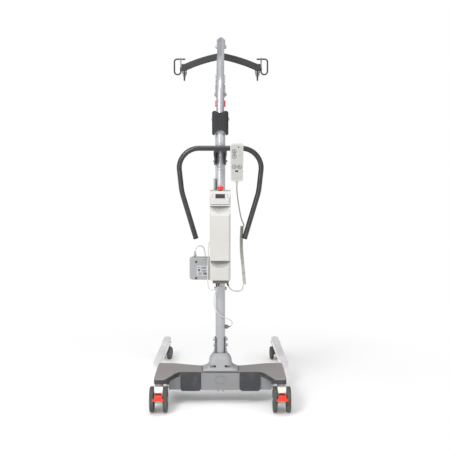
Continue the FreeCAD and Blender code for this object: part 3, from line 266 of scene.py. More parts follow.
def moulded(name, colour, roughness, grain=0.00005, scuff=0.22, edge_radius=0.0010, shade=None,
            reach=0.025):
    """Moulded plastic: spark-eroded grain, slight yellowing, scuffs, and marks on the edges.

    Shade is the colour of the marked edges, and reach is how far the painted shade in corners goes."""
    f = Finish(name, specular=0.45)
    edge = f.round_edges(edge_radius)
    cloud = f.noise(5.0, 3.0)
    warm = (colour[0] * 0.97, colour[1] * 0.95, colour[2] * 0.91)
    base = f.mix(f.fade(cloud, 0.35, 0.75), colour, warm)
    speck = f.noise(1900.0, 1.0)
    base = f.mix(f.fade(speck, 0.60, 0.75, 0.0, 0.10), base, scaled(colour, 0.78))
    rub = f.fade(f.noise(26.0, 7.0, stretch=(1.0, 1.0, 0.5)), 0.60, 0.72)
    base = f.mix(f.maths("MULTIPLY", rub, scuff * 0.5), base, scaled(colour, 0.80))
    base = f.mix(f.maths("MULTIPLY", edge, scuff), base, shade or scaled(colour, 1.18))
    # painted shade: corners and gaps darkened
    base = f.mix(f.maths("MULTIPLY", f.painted_corner_shade(reach), 0.65), base, scaled(colour, 0.28))
    f.bump(f.cells(1500.0), grain)
    f.bump(f.noise(60.0, 3.0), 0.00005)
    rough = f.fade(cloud, 0.25, 0.75, roughness - 0.04, roughness + 0.06)
    return f.done(base, f.maths("SUBTRACT", rough, f.maths("MULTIPLY", rub, 0.10)))


def plated(name, colour, roughness, streak=(1.0, 1.0, 18.0)):
    """Zinc plate: fine turning streaks, a clouded passivation film and worn bright edges."""
    f = Finish(name, metallic=1.0)
    edge = f.round_edges(0.0006)
    film = f.noise(38.0, 4.0)
    base = f.mix(f.fade(film, 0.35, 0.70), scaled(colour, 0.84), colour)
    lines = f.noise(240.0, 3.0, stretch=streak)
    base = f.mix(f.fade(lines, 0.40, 0.62, 0.0, 0.30), base, scaled(colour, 0.72))
    base = f.mix(f.maths("MULTIPLY", edge, 0.6), base, scaled(colour, 1.25))
    f.bump(lines, 0.00003)
    rough = f.fade(film, 0.3, 0.7, roughness - 0.06, roughness + 0.10)
    return f.done(base, f.maths("SUBTRACT", rough, f.maths("MULTIPLY", edge, 0.08)))


def rubber(name, colour, roughness, dust=0.25):
    """Rubber: a matt pebbled skin with pale dust caught in it and greyed edges."""
    f = Finish(name, specular=0.3)
    edge = f.round_edges(0.0012)
    pebble = f.cells(850.0)
    cloud = f.noise(22.0, 5.0)
    base = f.mix(f.fade(cloud, 0.35, 0.7), scaled(colour, 0.85), scaled(colour, 1.12))
    grey = tone(150, 148, 142)
    base = f.mix(f.maths("MULTIPLY", f.fade(cloud, 0.52, 0.78), dust), base, grey)
    base = f.mix(f.maths("MULTIPLY", f.fade(pebble, 0.1, 0.45), 0.10), base, scaled(colour, 0.5))
    base = f.mix(f.maths("MULTIPLY", edge, 0.22), base, grey)
    f.bump(pebble, 0.00010)
    return f.done(base, f.fade(cloud, 0.3, 0.7, roughness - 0.08, roughness + 0.05))


def dark_window(name, colour, glow):
    """A clear-fronted display or lens: glossy, nearly black, with a faint pixel grid behind it."""
    f = Finish(name, coat=1.0)
    grid = f.node("TexChecker", {"Vector": f.place, "Scale": 1100.0,
                                 "Color1": colour, "Color2": glow})
    smear = f.fade(f.noise(55.0, 4.0), 0.4, 0.7)
    base = f.mix(f.maths("MULTIPLY", smear, 0.25), grid.outputs["Color"], scaled(glow, 1.6))
    f.bump(f.noise(90.0, 2.0), 0.00001)
    return f.done(base, f.fade(smear, 0.0, 1.0, 0.07, 0.20))


def cable_skin(name, top, bottom, low_z, high_z):
    """Cable sheath: satin with grime, its colour shifting from bottom to top as painted shade."""
    f = Finish(name, specular=0.4)
    grime_and_shade = f.fade(f.noise(45.0, 5.0), 0.35, 0.75)
    # painted shade: the colour runs from the bottom one to the top one with height
    height = f.fade(f.axis("Z"), low_z, high_z)
    base = f.mix(height, bottom, top)
    base = f.mix(f.maths("MULTIPLY", grime_and_shade, 0.35), base, scaled(top, 0.75))
    f.bump(f.noise(500.0, 2.0), 0.00004)
    f.bump(f.noise(70.0, 2.0), 0.00015)
    return f.done(base, f.fade(grime_and_shade, 0.0, 1.0, 0.42, 0.60))


SILVER = painted("silver_paint", tone(180, 182, 187), 0.34, metallic=0.5, coat=0.3,
                 peel=0.00002, chips=0.2)
# a lighter, lit copy of the silver paint, with painted shade darkening the mast towards the bottom
MAST_SILVER = painted("mast_paint", tone(200, 202, 207), 0.30, metallic=0.45, coat=0.4,
                      peel=0.00002, chips=0.2, grime_and_shade=(0.35, 1.25))
LEG_SILVER = painted("leg_paint", tone(240, 238, 241), 0.42, metallic=0.25, chips=0.4)
STEEL_GREY = painted("steel_grey_paint", tone(150, 152, 156), 0.42, metallic=0.35, chips=0.4)
PLATE_GREY = painted("plate_grey_paint", tone(166, 167, 169), 0.46, metallic=0.2, chips=0.3)
HANDLE_DARK = painted("handle_paint", tone(36, 36, 38), 0.30, coat=0.4, chips=0.3,
                      bare=tone(150, 150, 152))
CHARCOAL = painted("charcoal_paint", tone(44, 44, 47), 0.55, coat=0.0, peel=0.00007, chips=0.5,
                   bare=tone(128, 128, 130))
BLACK_METAL = painted("black_paint", tone(38, 38, 40), 0.45, coat=0.15, chips=0.5,
                      bare=tone(120, 120, 122))
HOOK_BLACK = painted("hook_paint", tone(46, 46, 50), 0.42, coat=0.2, chips=0.7,
                     bare=tone(150, 150, 154))
COVER_GREY = moulded("cover_plastic", tone(143, 139, 138), 0.55, grain=0.00007)
DOME_GREY = moulded("dome_plastic", tone(163, 164, 167), 0.46)
SHIELD_GREY = moulded("shield_plastic", tone(138, 139, 142), 0.46)
ACTUATOR_GREY = moulded("actuator_plastic", tone(160, 161, 162), 0.48, grain=0.00007)
# the long reach spreads painted shade deep into the scoops and other hollows
IVORY = moulded("unit_plastic", tone(196, 195, 193), 0.42, scuff=0.12, shade=tone(204, 194, 191),
                reach=0.040)
CASTER_DARK = moulded("front_caster_plastic", tone(78, 78, 80), 0.44, scuff=0.3)
CASTER_IVORY = moulded("caster_plastic", tone(233, 230, 224), 0.42, scuff=0.2)
HANDSET_GREY = moulded("handset_plastic", tone(192, 192, 187), 0.50, grain=0.00008, scuff=0.15)
KEYPAD_GREY = moulded("keypad_film", tone(174, 176, 173), 0.40, grain=0.00002, scuff=0.25)
KEY_GREY = moulded("key_rubber", tone(192, 192, 186), 0.55, grain=0.00002, edge_radius=0.0006)
# dark grey for moulded marks and seams, and for the painted shadow round the handset's keys
MARK_AND_SHADOW_GREY = moulded("moulded_marks_and_painted_shadow", tone(56, 58, 58), 0.55, grain=0.00002, edge_radius=0.0003)
SOCKET_GREY = moulded("socket_plastic", tone(112, 110, 107), 0.45, grain=0.00007, scuff=0.2)
BLACK_PLASTIC = moulded("black_plastic", tone(44, 44, 47), 0.42, grain=0.00007, scuff=0.2,
                        shade=tone(92, 92, 96))
SHROUD_BLACK = moulded("shroud_plastic", tone(36, 36, 40), 0.40, grain=0.00009, scuff=0.18,
                       shade=tone(98, 98, 102))
RED = moulded("red_plastic", tone(240, 62, 42), 0.38, grain=0.00003, scuff=0.2,
              shade=tone(255, 120, 96))
ZINC = plated("zinc_plate", tone(196, 198, 202), 0.34)
WIRE_STEEL = plated("spring_steel", tone(208, 208, 210), 0.26)
GATE_STEEL = plated("gate_steel", tone(150, 152, 155), 0.40, streak=(1.0, 14.0, 1.0))
DARK_RUBBER = rubber("pad_rubber", tone(73, 74, 77), 0.78, dust=0.10)
SEAL_RUBBER = rubber("seal_rubber", tone(34, 34, 36), 0.62, dust=0.05)
TYRE = rubber("tyre_rubber", tone(84, 85, 81), 0.66)
RIM = moulded("rim_plastic", tone(104, 105, 101), 0.45, scuff=0.3)
DISPLAY = dark_window("display_window", tone(16, 18, 28), tone(28, 31, 44))
LENS = dark_window("lens_window", tone(12, 12, 14), tone(22, 22, 24))
LABEL_INK = moulded("label_ink", tone(92, 92, 104), 0.40, grain=0.00001, edge_radius=0.0002)
LABEL = moulded("blank_label", tone(196, 197, 200), 0.34, grain=0.00001, scuff=0.3,
                edge_radius=0.0003)
# the darker top colours are painted shade over the upper stretches of the cords
CORD_SKIN = cable_skin("handset_cord_skin", tone(132, 130, 121), tone(196, 193, 184), 0.66, 0.90)
LEAD_SKIN = cable_skin("motor_lead_skin", tone(206, 204, 197), tone(214, 212, 206), 0.40, 0.80)

NODE_FINISH = {
    "base_frame": STEEL_GREY, "base_cover": COVER_GREY, "rubber_bumpers": DARK_RUBBER,
    "centre_plate": SHIELD_GREY, "mast_cover": DOME_GREY, "mast_socket": STEEL_GREY,
    "mast_tube": MAST_SILVER, "chassis_fasteners": ZINC, "mast_head_fork": STEEL_GREY,
    "mast_head_shroud": SHROUD_BLACK, "boom_pivot_pin": ZINC, "push_handle": HANDLE_DARK,
    "handle_bracket": BLACK_METAL, "mast_brackets": PLATE_GREY, "control_box": IVORY,
    "battery_pack": IVORY,
    "emergency_stop_button": RED, "handset_shell": HANDSET_GREY, "handset_plug": BLACK_PLASTIC,
    "lead_connectors": SOCKET_GREY, "boom_tube": SILVER, "boom_brackets": SILVER,
    "hanger_link": ZINC, "spreader_bar": CHARCOAL, "spreader_hooks": HOOK_BLACK,
    "lift_actuator_housing": ACTUATOR_GREY, "lift_actuator_tube": SILVER, "lift_actuator_rod": ZINC,
    "lowering_ring": RED, "leg_actuator_housing": BLACK_PLASTIC, "leg_actuator_rod": ZINC,
}
FINISH_BY_PREFIX = {
    "handset_button": KEY_GREY, "outer_hook_gate": GATE_STEEL, "lower_hook_gate": ZINC,
    "rear_caster_housing": CASTER_IVORY, "front_caster_housing": CASTER_DARK, "brake_pedal": RED,
    "rear_wheel": TYRE, "front_wheel": TYRE, "handset_cord": CORD_SKIN,
    "lift_motor_lead": LEAD_SKIN, "leg_motor_lead": LEAD_SKIN, "leg_left": LEG_SILVER,
    "leg_right": LEG_SILVER,
}


def dress_cad_nodes():
    """Gives every CAD node its finish, by its name or by the start of its name."""
    for name, node in NODES.items():
        finish = NODE_FINISH.get(name)
        if finish is None:
            finish = next(m for prefix, m in FINISH_BY_PREFIX.items() if name.startswith(prefix))
        if not node.material_slots:
            node.data.materials.append(finish)
        for slot in node.material_slots:
            slot.material = finish


# ---- mesh helpers ----
def place(origin, along, up=(0, 0, 1)):
    """A frame whose Z runs along a direction and whose Y is as near to up as it can be."""
    z = Vector(along).normalized()
    x = Vector(up).cross(z)
    if x.length < 1e-6:
        x = Vector((1, 0, 0)).cross(z)
    x.normalize()
    y = z.cross(x)
    return Matrix.Translation(origin) @ Matrix((x, y, z)).transposed().to_4x4()


def add(name, data):
    """A new object in the scene."""
    made = bpy.data.objects.new(name, data)
    bpy.context.scene.collection.objects.link(made)
    return made


def piece(name, mesh, finish, body, where=None):
    """Turns a bmesh or mesh into a smooth-shaded object, riding on a CAD body if one is given."""
    if isinstance(mesh, bmesh.types.BMesh):
        made = bpy.data.meshes.new(name)
        bmesh.ops.recalc_face_normals(mesh, faces=mesh.faces)
        mesh.to_mesh(made)
        mesh.free()
        mesh = made
    if where is not None:
        mesh.transform(where)
    mesh.shade_smooth()
    mesh.set_sharp_from_angle(angle=CREASE)
    mesh.materials.clear()
    mesh.materials.append(finish)
    made = add(name, mesh)
    if body is not None:
        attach(made, body)
    return made


def loft(rings, closed=False):
    """Faces between rings of equally many points. If closed, the last ring joins the first."""
    made = bmesh.new()
    rows = [[made.verts.new(point) for point in ring] for ring in rings]
    count = len(rows[0])
    pairs = list(zip(rows, rows[1:])) + ([(rows[-1], rows[0])] if closed else [])
    for first, second in pairs:
        for i in range(count):
            made.faces.new((first[i], first[(i + 1) % count], second[(i + 1) % count], second[i]))
    if not closed:
        made.faces.new(rows[0])
        made.faces.new(rows[-1])
    return made


def circle(radius, height, steps=48, lobes=0, swell=0.0):
    """A ring of points at a height. With lobes, the radius swells that many times round."""
    ring = []
    for i in range(steps):
        angle = 2 * math.pi * i / steps
        reach = radius * (1 + swell * math.cos(lobes * angle))
        ring.append(Vector((reach * math.cos(angle), reach * math.sin(angle), height)))
    return ring


def turned(profile):
    """A turned shape from a closed line of (radius, height) pairs about Z."""
    return loft([circle(radius, height, TURN_STEPS) for radius, height in profile], closed=True)


def mirrored(profile):
    """A profile followed by its own mirror image, from the last point back to the first."""
    return profile + [(radius, -height) for radius, height in reversed(profile)]


def bars(places, ease):
    """Blocks with eased edges, one for each matrix that sizes and places a unit cube."""
    made = bmesh.new()
    for where in places:
        block = bmesh.ops.create_cube(made, size=1.0)["verts"]
        bmesh.ops.transform(made, matrix=where, verts=block)
    bmesh.ops.bevel(made, geom=list(made.edges), offset=ease, segments=2, affect="EDGES")
    return made


def rounded_outline(width, height, radius, centre=(0, 0), steps=CORNER_STEPS):
    """The points of a rounded rectangle."""
    points = []
    corners = ((1, 1, 0), (-1, 1, 90), (-1, -1, 180), (1, -1, 270))
    for sx, sy, turn in corners:
        cx = centre[0] + sx * (width / 2 - radius)
        cy = centre[1] + sy * (height / 2 - radius)
        for i in range(steps + 1):
            angle = math.radians(turn + 90 * i / steps)
            points.append((cx + radius * math.cos(angle), cy + radius * math.sin(angle)))
    return points


def open_rim(outer, inner, low, high):
    """A band between two rounded rectangles, left open along the top edge from low to high."""
    first_corner = CORNER_STEPS + 1
    outer = outer[first_corner:] + outer[:first_corner]
    inner = inner[first_corner:] + inner[:first_corner]
    band = [(low, outer[0][1])] + outer + [(high, outer[0][1]), (high, inner[0][1])]
    return band + inner[::-1] + [(low, inner[0][1])]


def oval(width, height, centre=(0, 0), steps=48):
    """The points of an ellipse."""
    angles = [2 * math.pi * i / steps for i in range(steps)]
    return [(centre[0] + width / 2 * math.cos(a), centre[1] + height / 2 * math.sin(a))
            for a in angles]


def round_outline(radius, centre=(0, 0)):
    """The points of a circle."""
    return oval(2 * radius, 2 * radius, centre, steps=32)


def panel(outlines, thickness, edge=0.0002):
    """A flat sheet with eased edges. The first outline is its rim, and the others are holes."""
    curve = bpy.data.curves.new("panel", "CURVE")
    curve.dimensions = "2D"
    curve.fill_mode = "BOTH"
    curve.extrude = thickness / 2 - edge
    curve.bevel_depth = edge
    curve.bevel_resolution = 2
    curve.offset = -edge
    for outline in outlines:
        spline = curve.splines.new("POLY")
        spline.points.add(len(outline) - 1)
        for point, (x, y) in zip(spline.points, outline):
            point.co = (x, y, thickness / 2, 1)
        spline.use_cyclic_u = True
    return mesh_of(curve)


def mesh_of(curve):
    """The mesh that a curve makes."""
    holder = add("holder", curve)
    bpy.context.view_layer.update()
    mesh = bpy.data.meshes.new_from_object(holder)
    bpy.data.objects.remove(holder)
    return mesh


def spline_curve(name, points, diameter=0.0):
    """A smooth NURBS line that its control points pull along, round if it has a diameter."""
    curve = bpy.data.curves.new(name, "CURVE")
    curve.dimensions = "3D"
    curve.bevel_depth = diameter / 2
    curve.bevel_resolution = 5
    curve.use_fill_caps = diameter > 0
    spline = curve.splines.new("NURBS")
    spline.points.add(len(points) - 1)
    for control, point in zip(spline.points, points):
        control.co = (*point, 1)
    spline.order_u = 3
    spline.use_endpoint_u = True
    spline.resolution_u = 8
    return curve


def line_of(points):
    """Points read along the smooth line of a route."""
    return [v.co.copy() for v in mesh_of(spline_curve("line", points)).vertices]


def walk(line, count):
    """Evenly spaced points along a line, each with the direction of travel there."""
    marks = [0.0]
    for a, b in zip(line, line[1:]):
        marks.append(marks[-1] + (b - a).length)
    found, leg = [], 0
    for i in range(count):
        target = marks[-1] * i / (count - 1)
        while leg < len(line) - 2 and marks[leg + 1] < target:
            leg += 1
        share = (target - marks[leg]) / (marks[leg + 1] - marks[leg])
        ahead = (line[leg + 1] - line[leg]).normalized()
        found.append((line[leg].lerp(line[leg + 1], share), ahead))
    return found


def helix(line, radius, turns, per_turn, first_side):
    """Points of a helix round a line. With whole turns it ends on the side where it starts."""
    points = []
    for i, (centre, ahead) in enumerate(walk(line, turns * per_turn + 1)):
        side = (Vector(first_side) - ahead * ahead.dot(Vector(first_side))).normalized()
        other = ahead.cross(side)
        angle = 2 * math.pi * i / per_turn
        points.append(centre + (side * math.cos(angle) + other * math.sin(angle)) * radius)
    return points


def tube_mesh(line, radius):
    """A round tube along a line of points."""
    rings = []
    side = Vector((1, 0, 0))
    for i, point in enumerate(line):
        ahead = (line[min(i + 1, len(line) - 1)] - line[max(i - 1, 0)]).normalized()
        side = (side - ahead * ahead.dot(side)).normalized()
        other = ahead.cross(side)
        rings.append([point + (side * math.cos(a) + other * math.sin(a)) * radius
                      for a in (2 * math.pi * k / TUBE_STEPS for k in range(TUBE_STEPS))])
    return loft(rings)


def bolt_head(name, centre, axis, radius, height, body, finish=ZINC):
    """A domed cap head with a six-lobed socket, standing on a surface."""
    socket = radius * 0.42
    rings = [circle(radius, 0), circle(radius, height * 0.55), circle(radius * 0.93, height * 0.85),
             circle(radius * 0.76, height), circle(socket * 1.12, height, lobes=6, swell=0.12),
             circle(socket, height * 0.93, lobes=6, swell=0.14),
             circle(socket * 0.94, height * 0.35, lobes=6, swell=0.14)]
    return piece(name, loft(rings), finish, body, place(centre, axis))


def side_bolt(name, sign, at, radius, height, body="base"):
    """A bolt head pointing straight out of one side. At is where the right-hand one stands."""
    bolt_head(name, (sign * at[0], at[1], at[2]), (sign, 0, 0), radius, height, body)


# ---- wheels and casters ----
def caster_wheel(node, hub_radius, ribs):
    """A tyre with two fine grooves on a ribbed rim, in place of the plain CAD wheel."""
    low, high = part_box(node)
    centre = (low + high) / 2
    radius = (high.z - low.z) / 2
    axis = Vector(JOINT_OF[node]["axis"])
    half = (REAR_WHEEL_W if node.startswith("rear") else FRONT_WHEEL_W) / 2
    where = place(centre, axis)
    seat = radius - TYRE_DEPTH
    shoulder = half * 0.62
    groove = half * 0.30
    tyre = [(seat, -half + 0.0006), (radius - TYRE_WALL, -half)]
    for i in range(7):
        angle = math.radians(-90 + 15 * i)
        reach = radius - shoulder + shoulder * math.cos(angle)
        if reach > radius - TYRE_WALL:
            tyre.append((reach, -half + shoulder + shoulder * math.sin(angle)))
    tyre += [(radius - 0.0001, -groove - 0.0006), (radius - 0.0009, -groove - 0.0002),
             (radius - 0.0009, -groove + 0.0002), (radius, -groove + 0.0006)]
    skin = piece(f"{node}_tyre", turned(mirrored(tyre)), TYRE, node_body(node), where)
    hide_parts(node)
    dish = half - 0.0025
    rim = [(hub_radius * 0.36, -half + 0.0004), (hub_radius - 0.001, -half + 0.0004),
           (hub_radius, -half + 0.0016), (hub_radius + 0.0014, -dish), (seat - 0.0036, -dish),
           (seat - 0.0022, -half + 0.0012), (seat + 0.0002, -half + 0.0012)]
    piece(f"{node}_rim", turned(mirrored(rim)), RIM, node_body(node), where)
    rib_end = seat - 0.003
    size = Matrix.Diagonal((rib_end - hub_radius + 0.001, 0.0022, 0.0016, 1))
    for side, face in (("a", -1), ("b", 1)):
        spot = Matrix.Translation(((rib_end + hub_radius) / 2, 0, face * (dish + 0.0004)))
        turns = [Matrix.Rotation(2 * math.pi * i / ribs, 4, "Z") for i in range(ribs)]
        spokes = bars([turn @ spot @ size for turn in turns], 0.0004)
        piece(f"{node}_ribs_{side}", spokes, RIM, node_body(node), where)


def node_body(node):
    """The name of the CAD body that a node moves with."""
    return NODES[node]["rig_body"]


def all_wheels():
    for side, _ in SIDES:
        for spot in ("inner", "outer"):
            caster_wheel(f"rear_wheel_{spot}_{side}", 0.016, 10)
            caster_wheel(f"front_wheel_{spot}_{side}", 0.0125, 8)


def caster_details():
    """Swivel seals, caps on the axles' ends, and grip ridges on the brake pedals."""
    for side, sign in SIDES:
        axle = Vector((sign * REAR_AXLE.x, REAR_AXLE.y, REAR_AXLE.z))
        swivel = axle + Vector((0, 0.025, 0.0745))
        seal = [(0.0125, 0), (0.0175, 0), (0.0182, 0.0006), (0.0182, 0.0016), (0.0170, 0.0022),
                (0.0125, 0.0022)]
        piece(f"swivel_seal_{side}", turned(seal), SEAL_RUBBER, f"rear_caster_{side}",
              place(swivel + Vector((0, 0, 0.0006)), (0, 0, 1)))
        for spot, reach in (("a", 0.0455), ("b", -0.0455)):
            bolt_head(f"rear_axle_cap_{spot}_{side}", axle + Vector((reach, 0, 0)),
                      (math.copysign(1, reach), 0, 0), 0.0068, 0.0012, f"rear_caster_{side}")
        out = Vector((0, -PEDAL_SLOPE.z, PEDAL_SLOPE.y))
        foot = axle + Vector((0, -0.072, 0.0215))
        ridges = []
        for i in range(3):
            spot = foot + PEDAL_SLOPE * (0.0045 + 0.0052 * i)
            size = Matrix.Diagonal((0.031 - 0.001 * i, 0.0026, 0.0018, 1))
            ridges.append(place(spot, out) @ size)
        piece(f"pedal_grip_{side}", bars(ridges, 0.0005), RED, f"brake_pedal_{side}")


# ---- base, mast, boom and handle ----
def base_details():
    """The plain oval's rim, bolt heads on lid, dome, socket and mast head, and the dome's seam."""
    oval_face = place((0, -0.3635, 0.122), (0, -1, 0))
    piece("oval_rim", panel([oval(0.0525, 0.0385), oval(0.0485, 0.0345)], 0.0012), STEEL_GREY,
          "base", oval_face)
    for side, sign in SIDES:
        bolt_head(f"lid_screw_{side}", (sign * 0.252, -0.262, 0.1654), (0, 0, 1), 0.0052, 0.0014,
                  "base")
        bolt_head(f"pocket_bolt_{side}", (sign * 0.027, MAST_Y - 0.056, 0.1875), (0, -1, 0), 0.0050,
                  0.0020, "base", BLACK_METAL)
        for height in (0.283, 0.313):
            side_bolt(f"socket_bolt_{side}_{round(height * 1000)}", sign, (0.0346, MAST_Y, height),
                      0.0052, 0.0022)
        side_bolt(f"pivot_bolt_{side}", sign, (0.0420, MAST_Y, 1.411), 0.0074, 0.0026)
    skirt = rounded_outline(0.1824, 0.1184, 0.0152)
    inner = rounded_outline(0.1770, 0.1130, 0.0125)
    dome_low, dome_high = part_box("mast_cover")
    middle = (dome_low + dome_high) / 2
    piece("dome_seam", panel([skirt, inner], 0.0014), SEAL_RUBBER, "base",
          Matrix.Translation((0, middle.y, 0.16405)))


def boom_and_handle_details():
    """End caps of the handle, and bolt heads on its bracket, the hanger and the actuator's pins."""
    for side, sign in SIDES:
        end = Vector((sign * HANDLE_END.x, HANDLE_END.y, HANDLE_END.z))
        down = (HANDLE_END - HANDLE_KNEE).normalized()
        down.x *= sign
        cap = [(0.0080, 0.0), (0.0128, 0.0), (0.0131, 0.0008), (0.0131, 0.0040), (0.0122, 0.0056),
               (0.0100, 0.0060), (0.0080, 0.0055)]
        piece(f"handle_cap_{side}", turned(cap), SEAL_RUBBER, "base",
              place(end, down))
        side_bolt(f"bracket_bolt_{side}", sign, (0.0337, MAST_Y, 1.205), 0.0044, 0.0018)
        side_bolt(f"hanger_bolt_{side}", sign, (0.029, SPREADER_Y, 1.812), 0.0072, 0.0028, "boom")
        side_bolt(f"clevis_bolt_{side}", sign, (0.0295, CLEVIS_PIN.y, CLEVIS_PIN.z), 0.0066, 0.0024,
                  "boom")
        side_bolt(f"foot_bolt_{side}", sign, (0.030, FOOT_PIN.y, FOOT_PIN.z), 0.0066, 0.0024)


# ---- lift actuator ----
LEAN = (CLEVIS_PIN - FOOT_PIN).normalized()
SCREW_X = (-0.122, 0.020)
SCREW_Z = (0.138, 0.056)

# plain blocks and bars on the motor's label, with no letters: centre x, y, width, height
LABEL_BARS = [(-0.016, 0.003, 0.012, 0.012), (0.008, 0.017, 0.024, 0.004),
              (0.008, 0.010, 0.024, 0.003), (0.009, 0.001, 0.026, 0.003),
              (0.006, -0.006, 0.020, 0.003), (0.014, -0.015, 0.018, 0.010),
              (-0.012, -0.012, 0.020, 0.003), (-0.012, -0.018, 0.020, 0.003),
              (-0.016, 0.017, 0.014, 0.003)]


def leaned(x, y, z):
    """A point given upright from the actuator's foot pin, leaned forward with the actuator."""
    rear = Vector((1, 0, 0)).cross(LEAN)
    return FOOT_PIN + Vector((x, 0, 0)) + LEAN * z - rear * y


def actuator_details():
    """The actuator's screws, label, parting flange, cable gland, wiper seal and clamp band."""
    behind = leaned(0, -1, 0) - FOOT_PIN
    for i, (x, z) in enumerate((x, z) for x in SCREW_X for z in SCREW_Z):
        bolt_head(f"housing_screw_{i}", leaned(x, -0.0381, z), behind, 0.0052, 0.0012,
                  "lift_actuator", BLACK_METAL)
    face = place(leaned(-0.091, -0.03695, 0.094), behind, LEAN)
    rim = rounded_outline(0.054, 0.050, 0.003)
    piece("housing_label", panel([rim], 0.0006, 0.0001), LABEL, "lift_actuator",
          face)
    for i, (x, y, width, height) in enumerate(LABEL_BARS):
        bar = panel([rounded_outline(width, height, 0.0008, (x, y), 2)], 0.0010, 0.0001)
        piece(f"housing_label_bar_{i}", bar, LABEL_INK, "lift_actuator", face)
    flange = open_rim(rounded_outline(0.1904, 0.1134, 0.0125),
                      rounded_outline(0.1860, 0.1090, 0.0105), 0.0385, 0.0820)
    piece("housing_flange", panel([flange], 0.0022), ACTUATOR_GREY, "lift_actuator",
          place(leaned(-0.0605, 0.0011, 0.104), behind, LEAN))
    gland = [(0.0026, 0), (0.0064, 0), (0.0064, 0.0030), (0.0056, 0.0042), (0.0056, 0.0060),
             (0.0046, 0.0075), (0.0042, 0.0150), (0.0034, 0.0240), (0.0026, 0.0240)]
    piece("gland_sleeve", turned(gland), BLACK_PLASTIC, "lift_actuator",
          place(leaned(-0.128, 0.004, 0.1645), LEAN))
    wiper = [(0.0104, 0), (0.0190, 0), (0.0200, 0.0006), (0.0178, 0.0022), (0.0122, 0.0028),
             (0.0104, 0.0026)]
    piece("rod_wiper", turned(wiper), SEAL_RUBBER, "lift_actuator",
          place(leaned(0, 0, 0.7040), LEAN))
    band = [(0.0211, 0), (0.0216, 0.0004), (0.0216, 0.0156), (0.0211, 0.0160)]
    piece("tube_clamp_band", turned(band), ZINC, "lift_actuator",
          place(leaned(0, 0, 0.165), LEAN))


# ---- control unit and handset ----
def display_and_keys():
    """The unit's display, film keys and seams, and the collar and cap of the emergency stop."""
    forward, up = UNIT_SLOPE
    slope = Vector((0, forward, up)).normalized()
    out = Vector((0, -up, forward)).normalized()
    centre = Vector((0, UNIT_REAR_Y + 0.0062, 1.0435))
    face = place(centre, out, slope)
    sunk = Matrix.Translation((0, 0, -0.0010))
    piece("display", panel([rounded_outline(0.0452, 0.0212, 0.0012)], 0.0007), DISPLAY, "base",
          face @ sunk)
    bezel = [rounded_outline(0.0560, 0.0285, 0.0040), rounded_outline(0.0466, 0.0226, 0.0016)]
    piece("display_bezel", panel(bezel, 0.0008), IVORY, "base", face)
    dome = ((0.0044, 0), (0.0044, 0.0004), (0.0040, 0.0007), (0.0034, 0.0005), (0.0016, 0.0007))
    keys = bmesh.new()
    for x in (-0.0365, 0.0365):
        for rise in (-0.0045, 0.0070):
            key = loft([circle(radius, height) for radius, height in dome])
            key.transform(face @ Matrix.Translation((x, rise, 0)))
            scrap = bpy.data.meshes.new("key")
            key.to_mesh(scrap)
            key.free()
            keys.from_mesh(scrap)
            bpy.data.meshes.remove(scrap)
    piece("unit_film_keys", keys, KEYPAD_GREY, "base")
    collar = [(0.0076, 0), (0.0138, 0), (0.0138, 0.0004), (0.0128, 0.0009), (0.0076, 0.0009)]
    piece("stop_collar", turned(collar), MARK_AND_SHADOW_GREY, "base",
          place((0, STOP_Y, STOP_BASE_Z), (0, 0, 1)))
    grip = [circle(0.0144, 1.0730, 96, 24, 0.006), circle(0.01475, 1.0745, 96, 24, 0.010),
            circle(0.01475, 1.0835, 96, 24, 0.010), circle(0.0140, 1.0868, 96, 24, 0.004),
            circle(0.0119, 1.0884, 96), circle(0.0080, 1.0883, 96), circle(0.0030, 1.0881, 96)]
    piece("stop_cap", loft(grip), RED, "emergency_stop",
          Matrix.Translation((0, STOP_Y, 0)))
    for name, height in (("battery_lower_seam", 0.7302), ("battery_upper_seam", 1.0043)):
        strip = panel([rounded_outline(0.0930, 0.0500, 0.0030)], 0.0008)
        piece(name, strip, MARK_AND_SHADOW_GREY, "base",
              Matrix.Translation((0, UNIT_REAR_Y + 0.0270, height - 0.0004)))


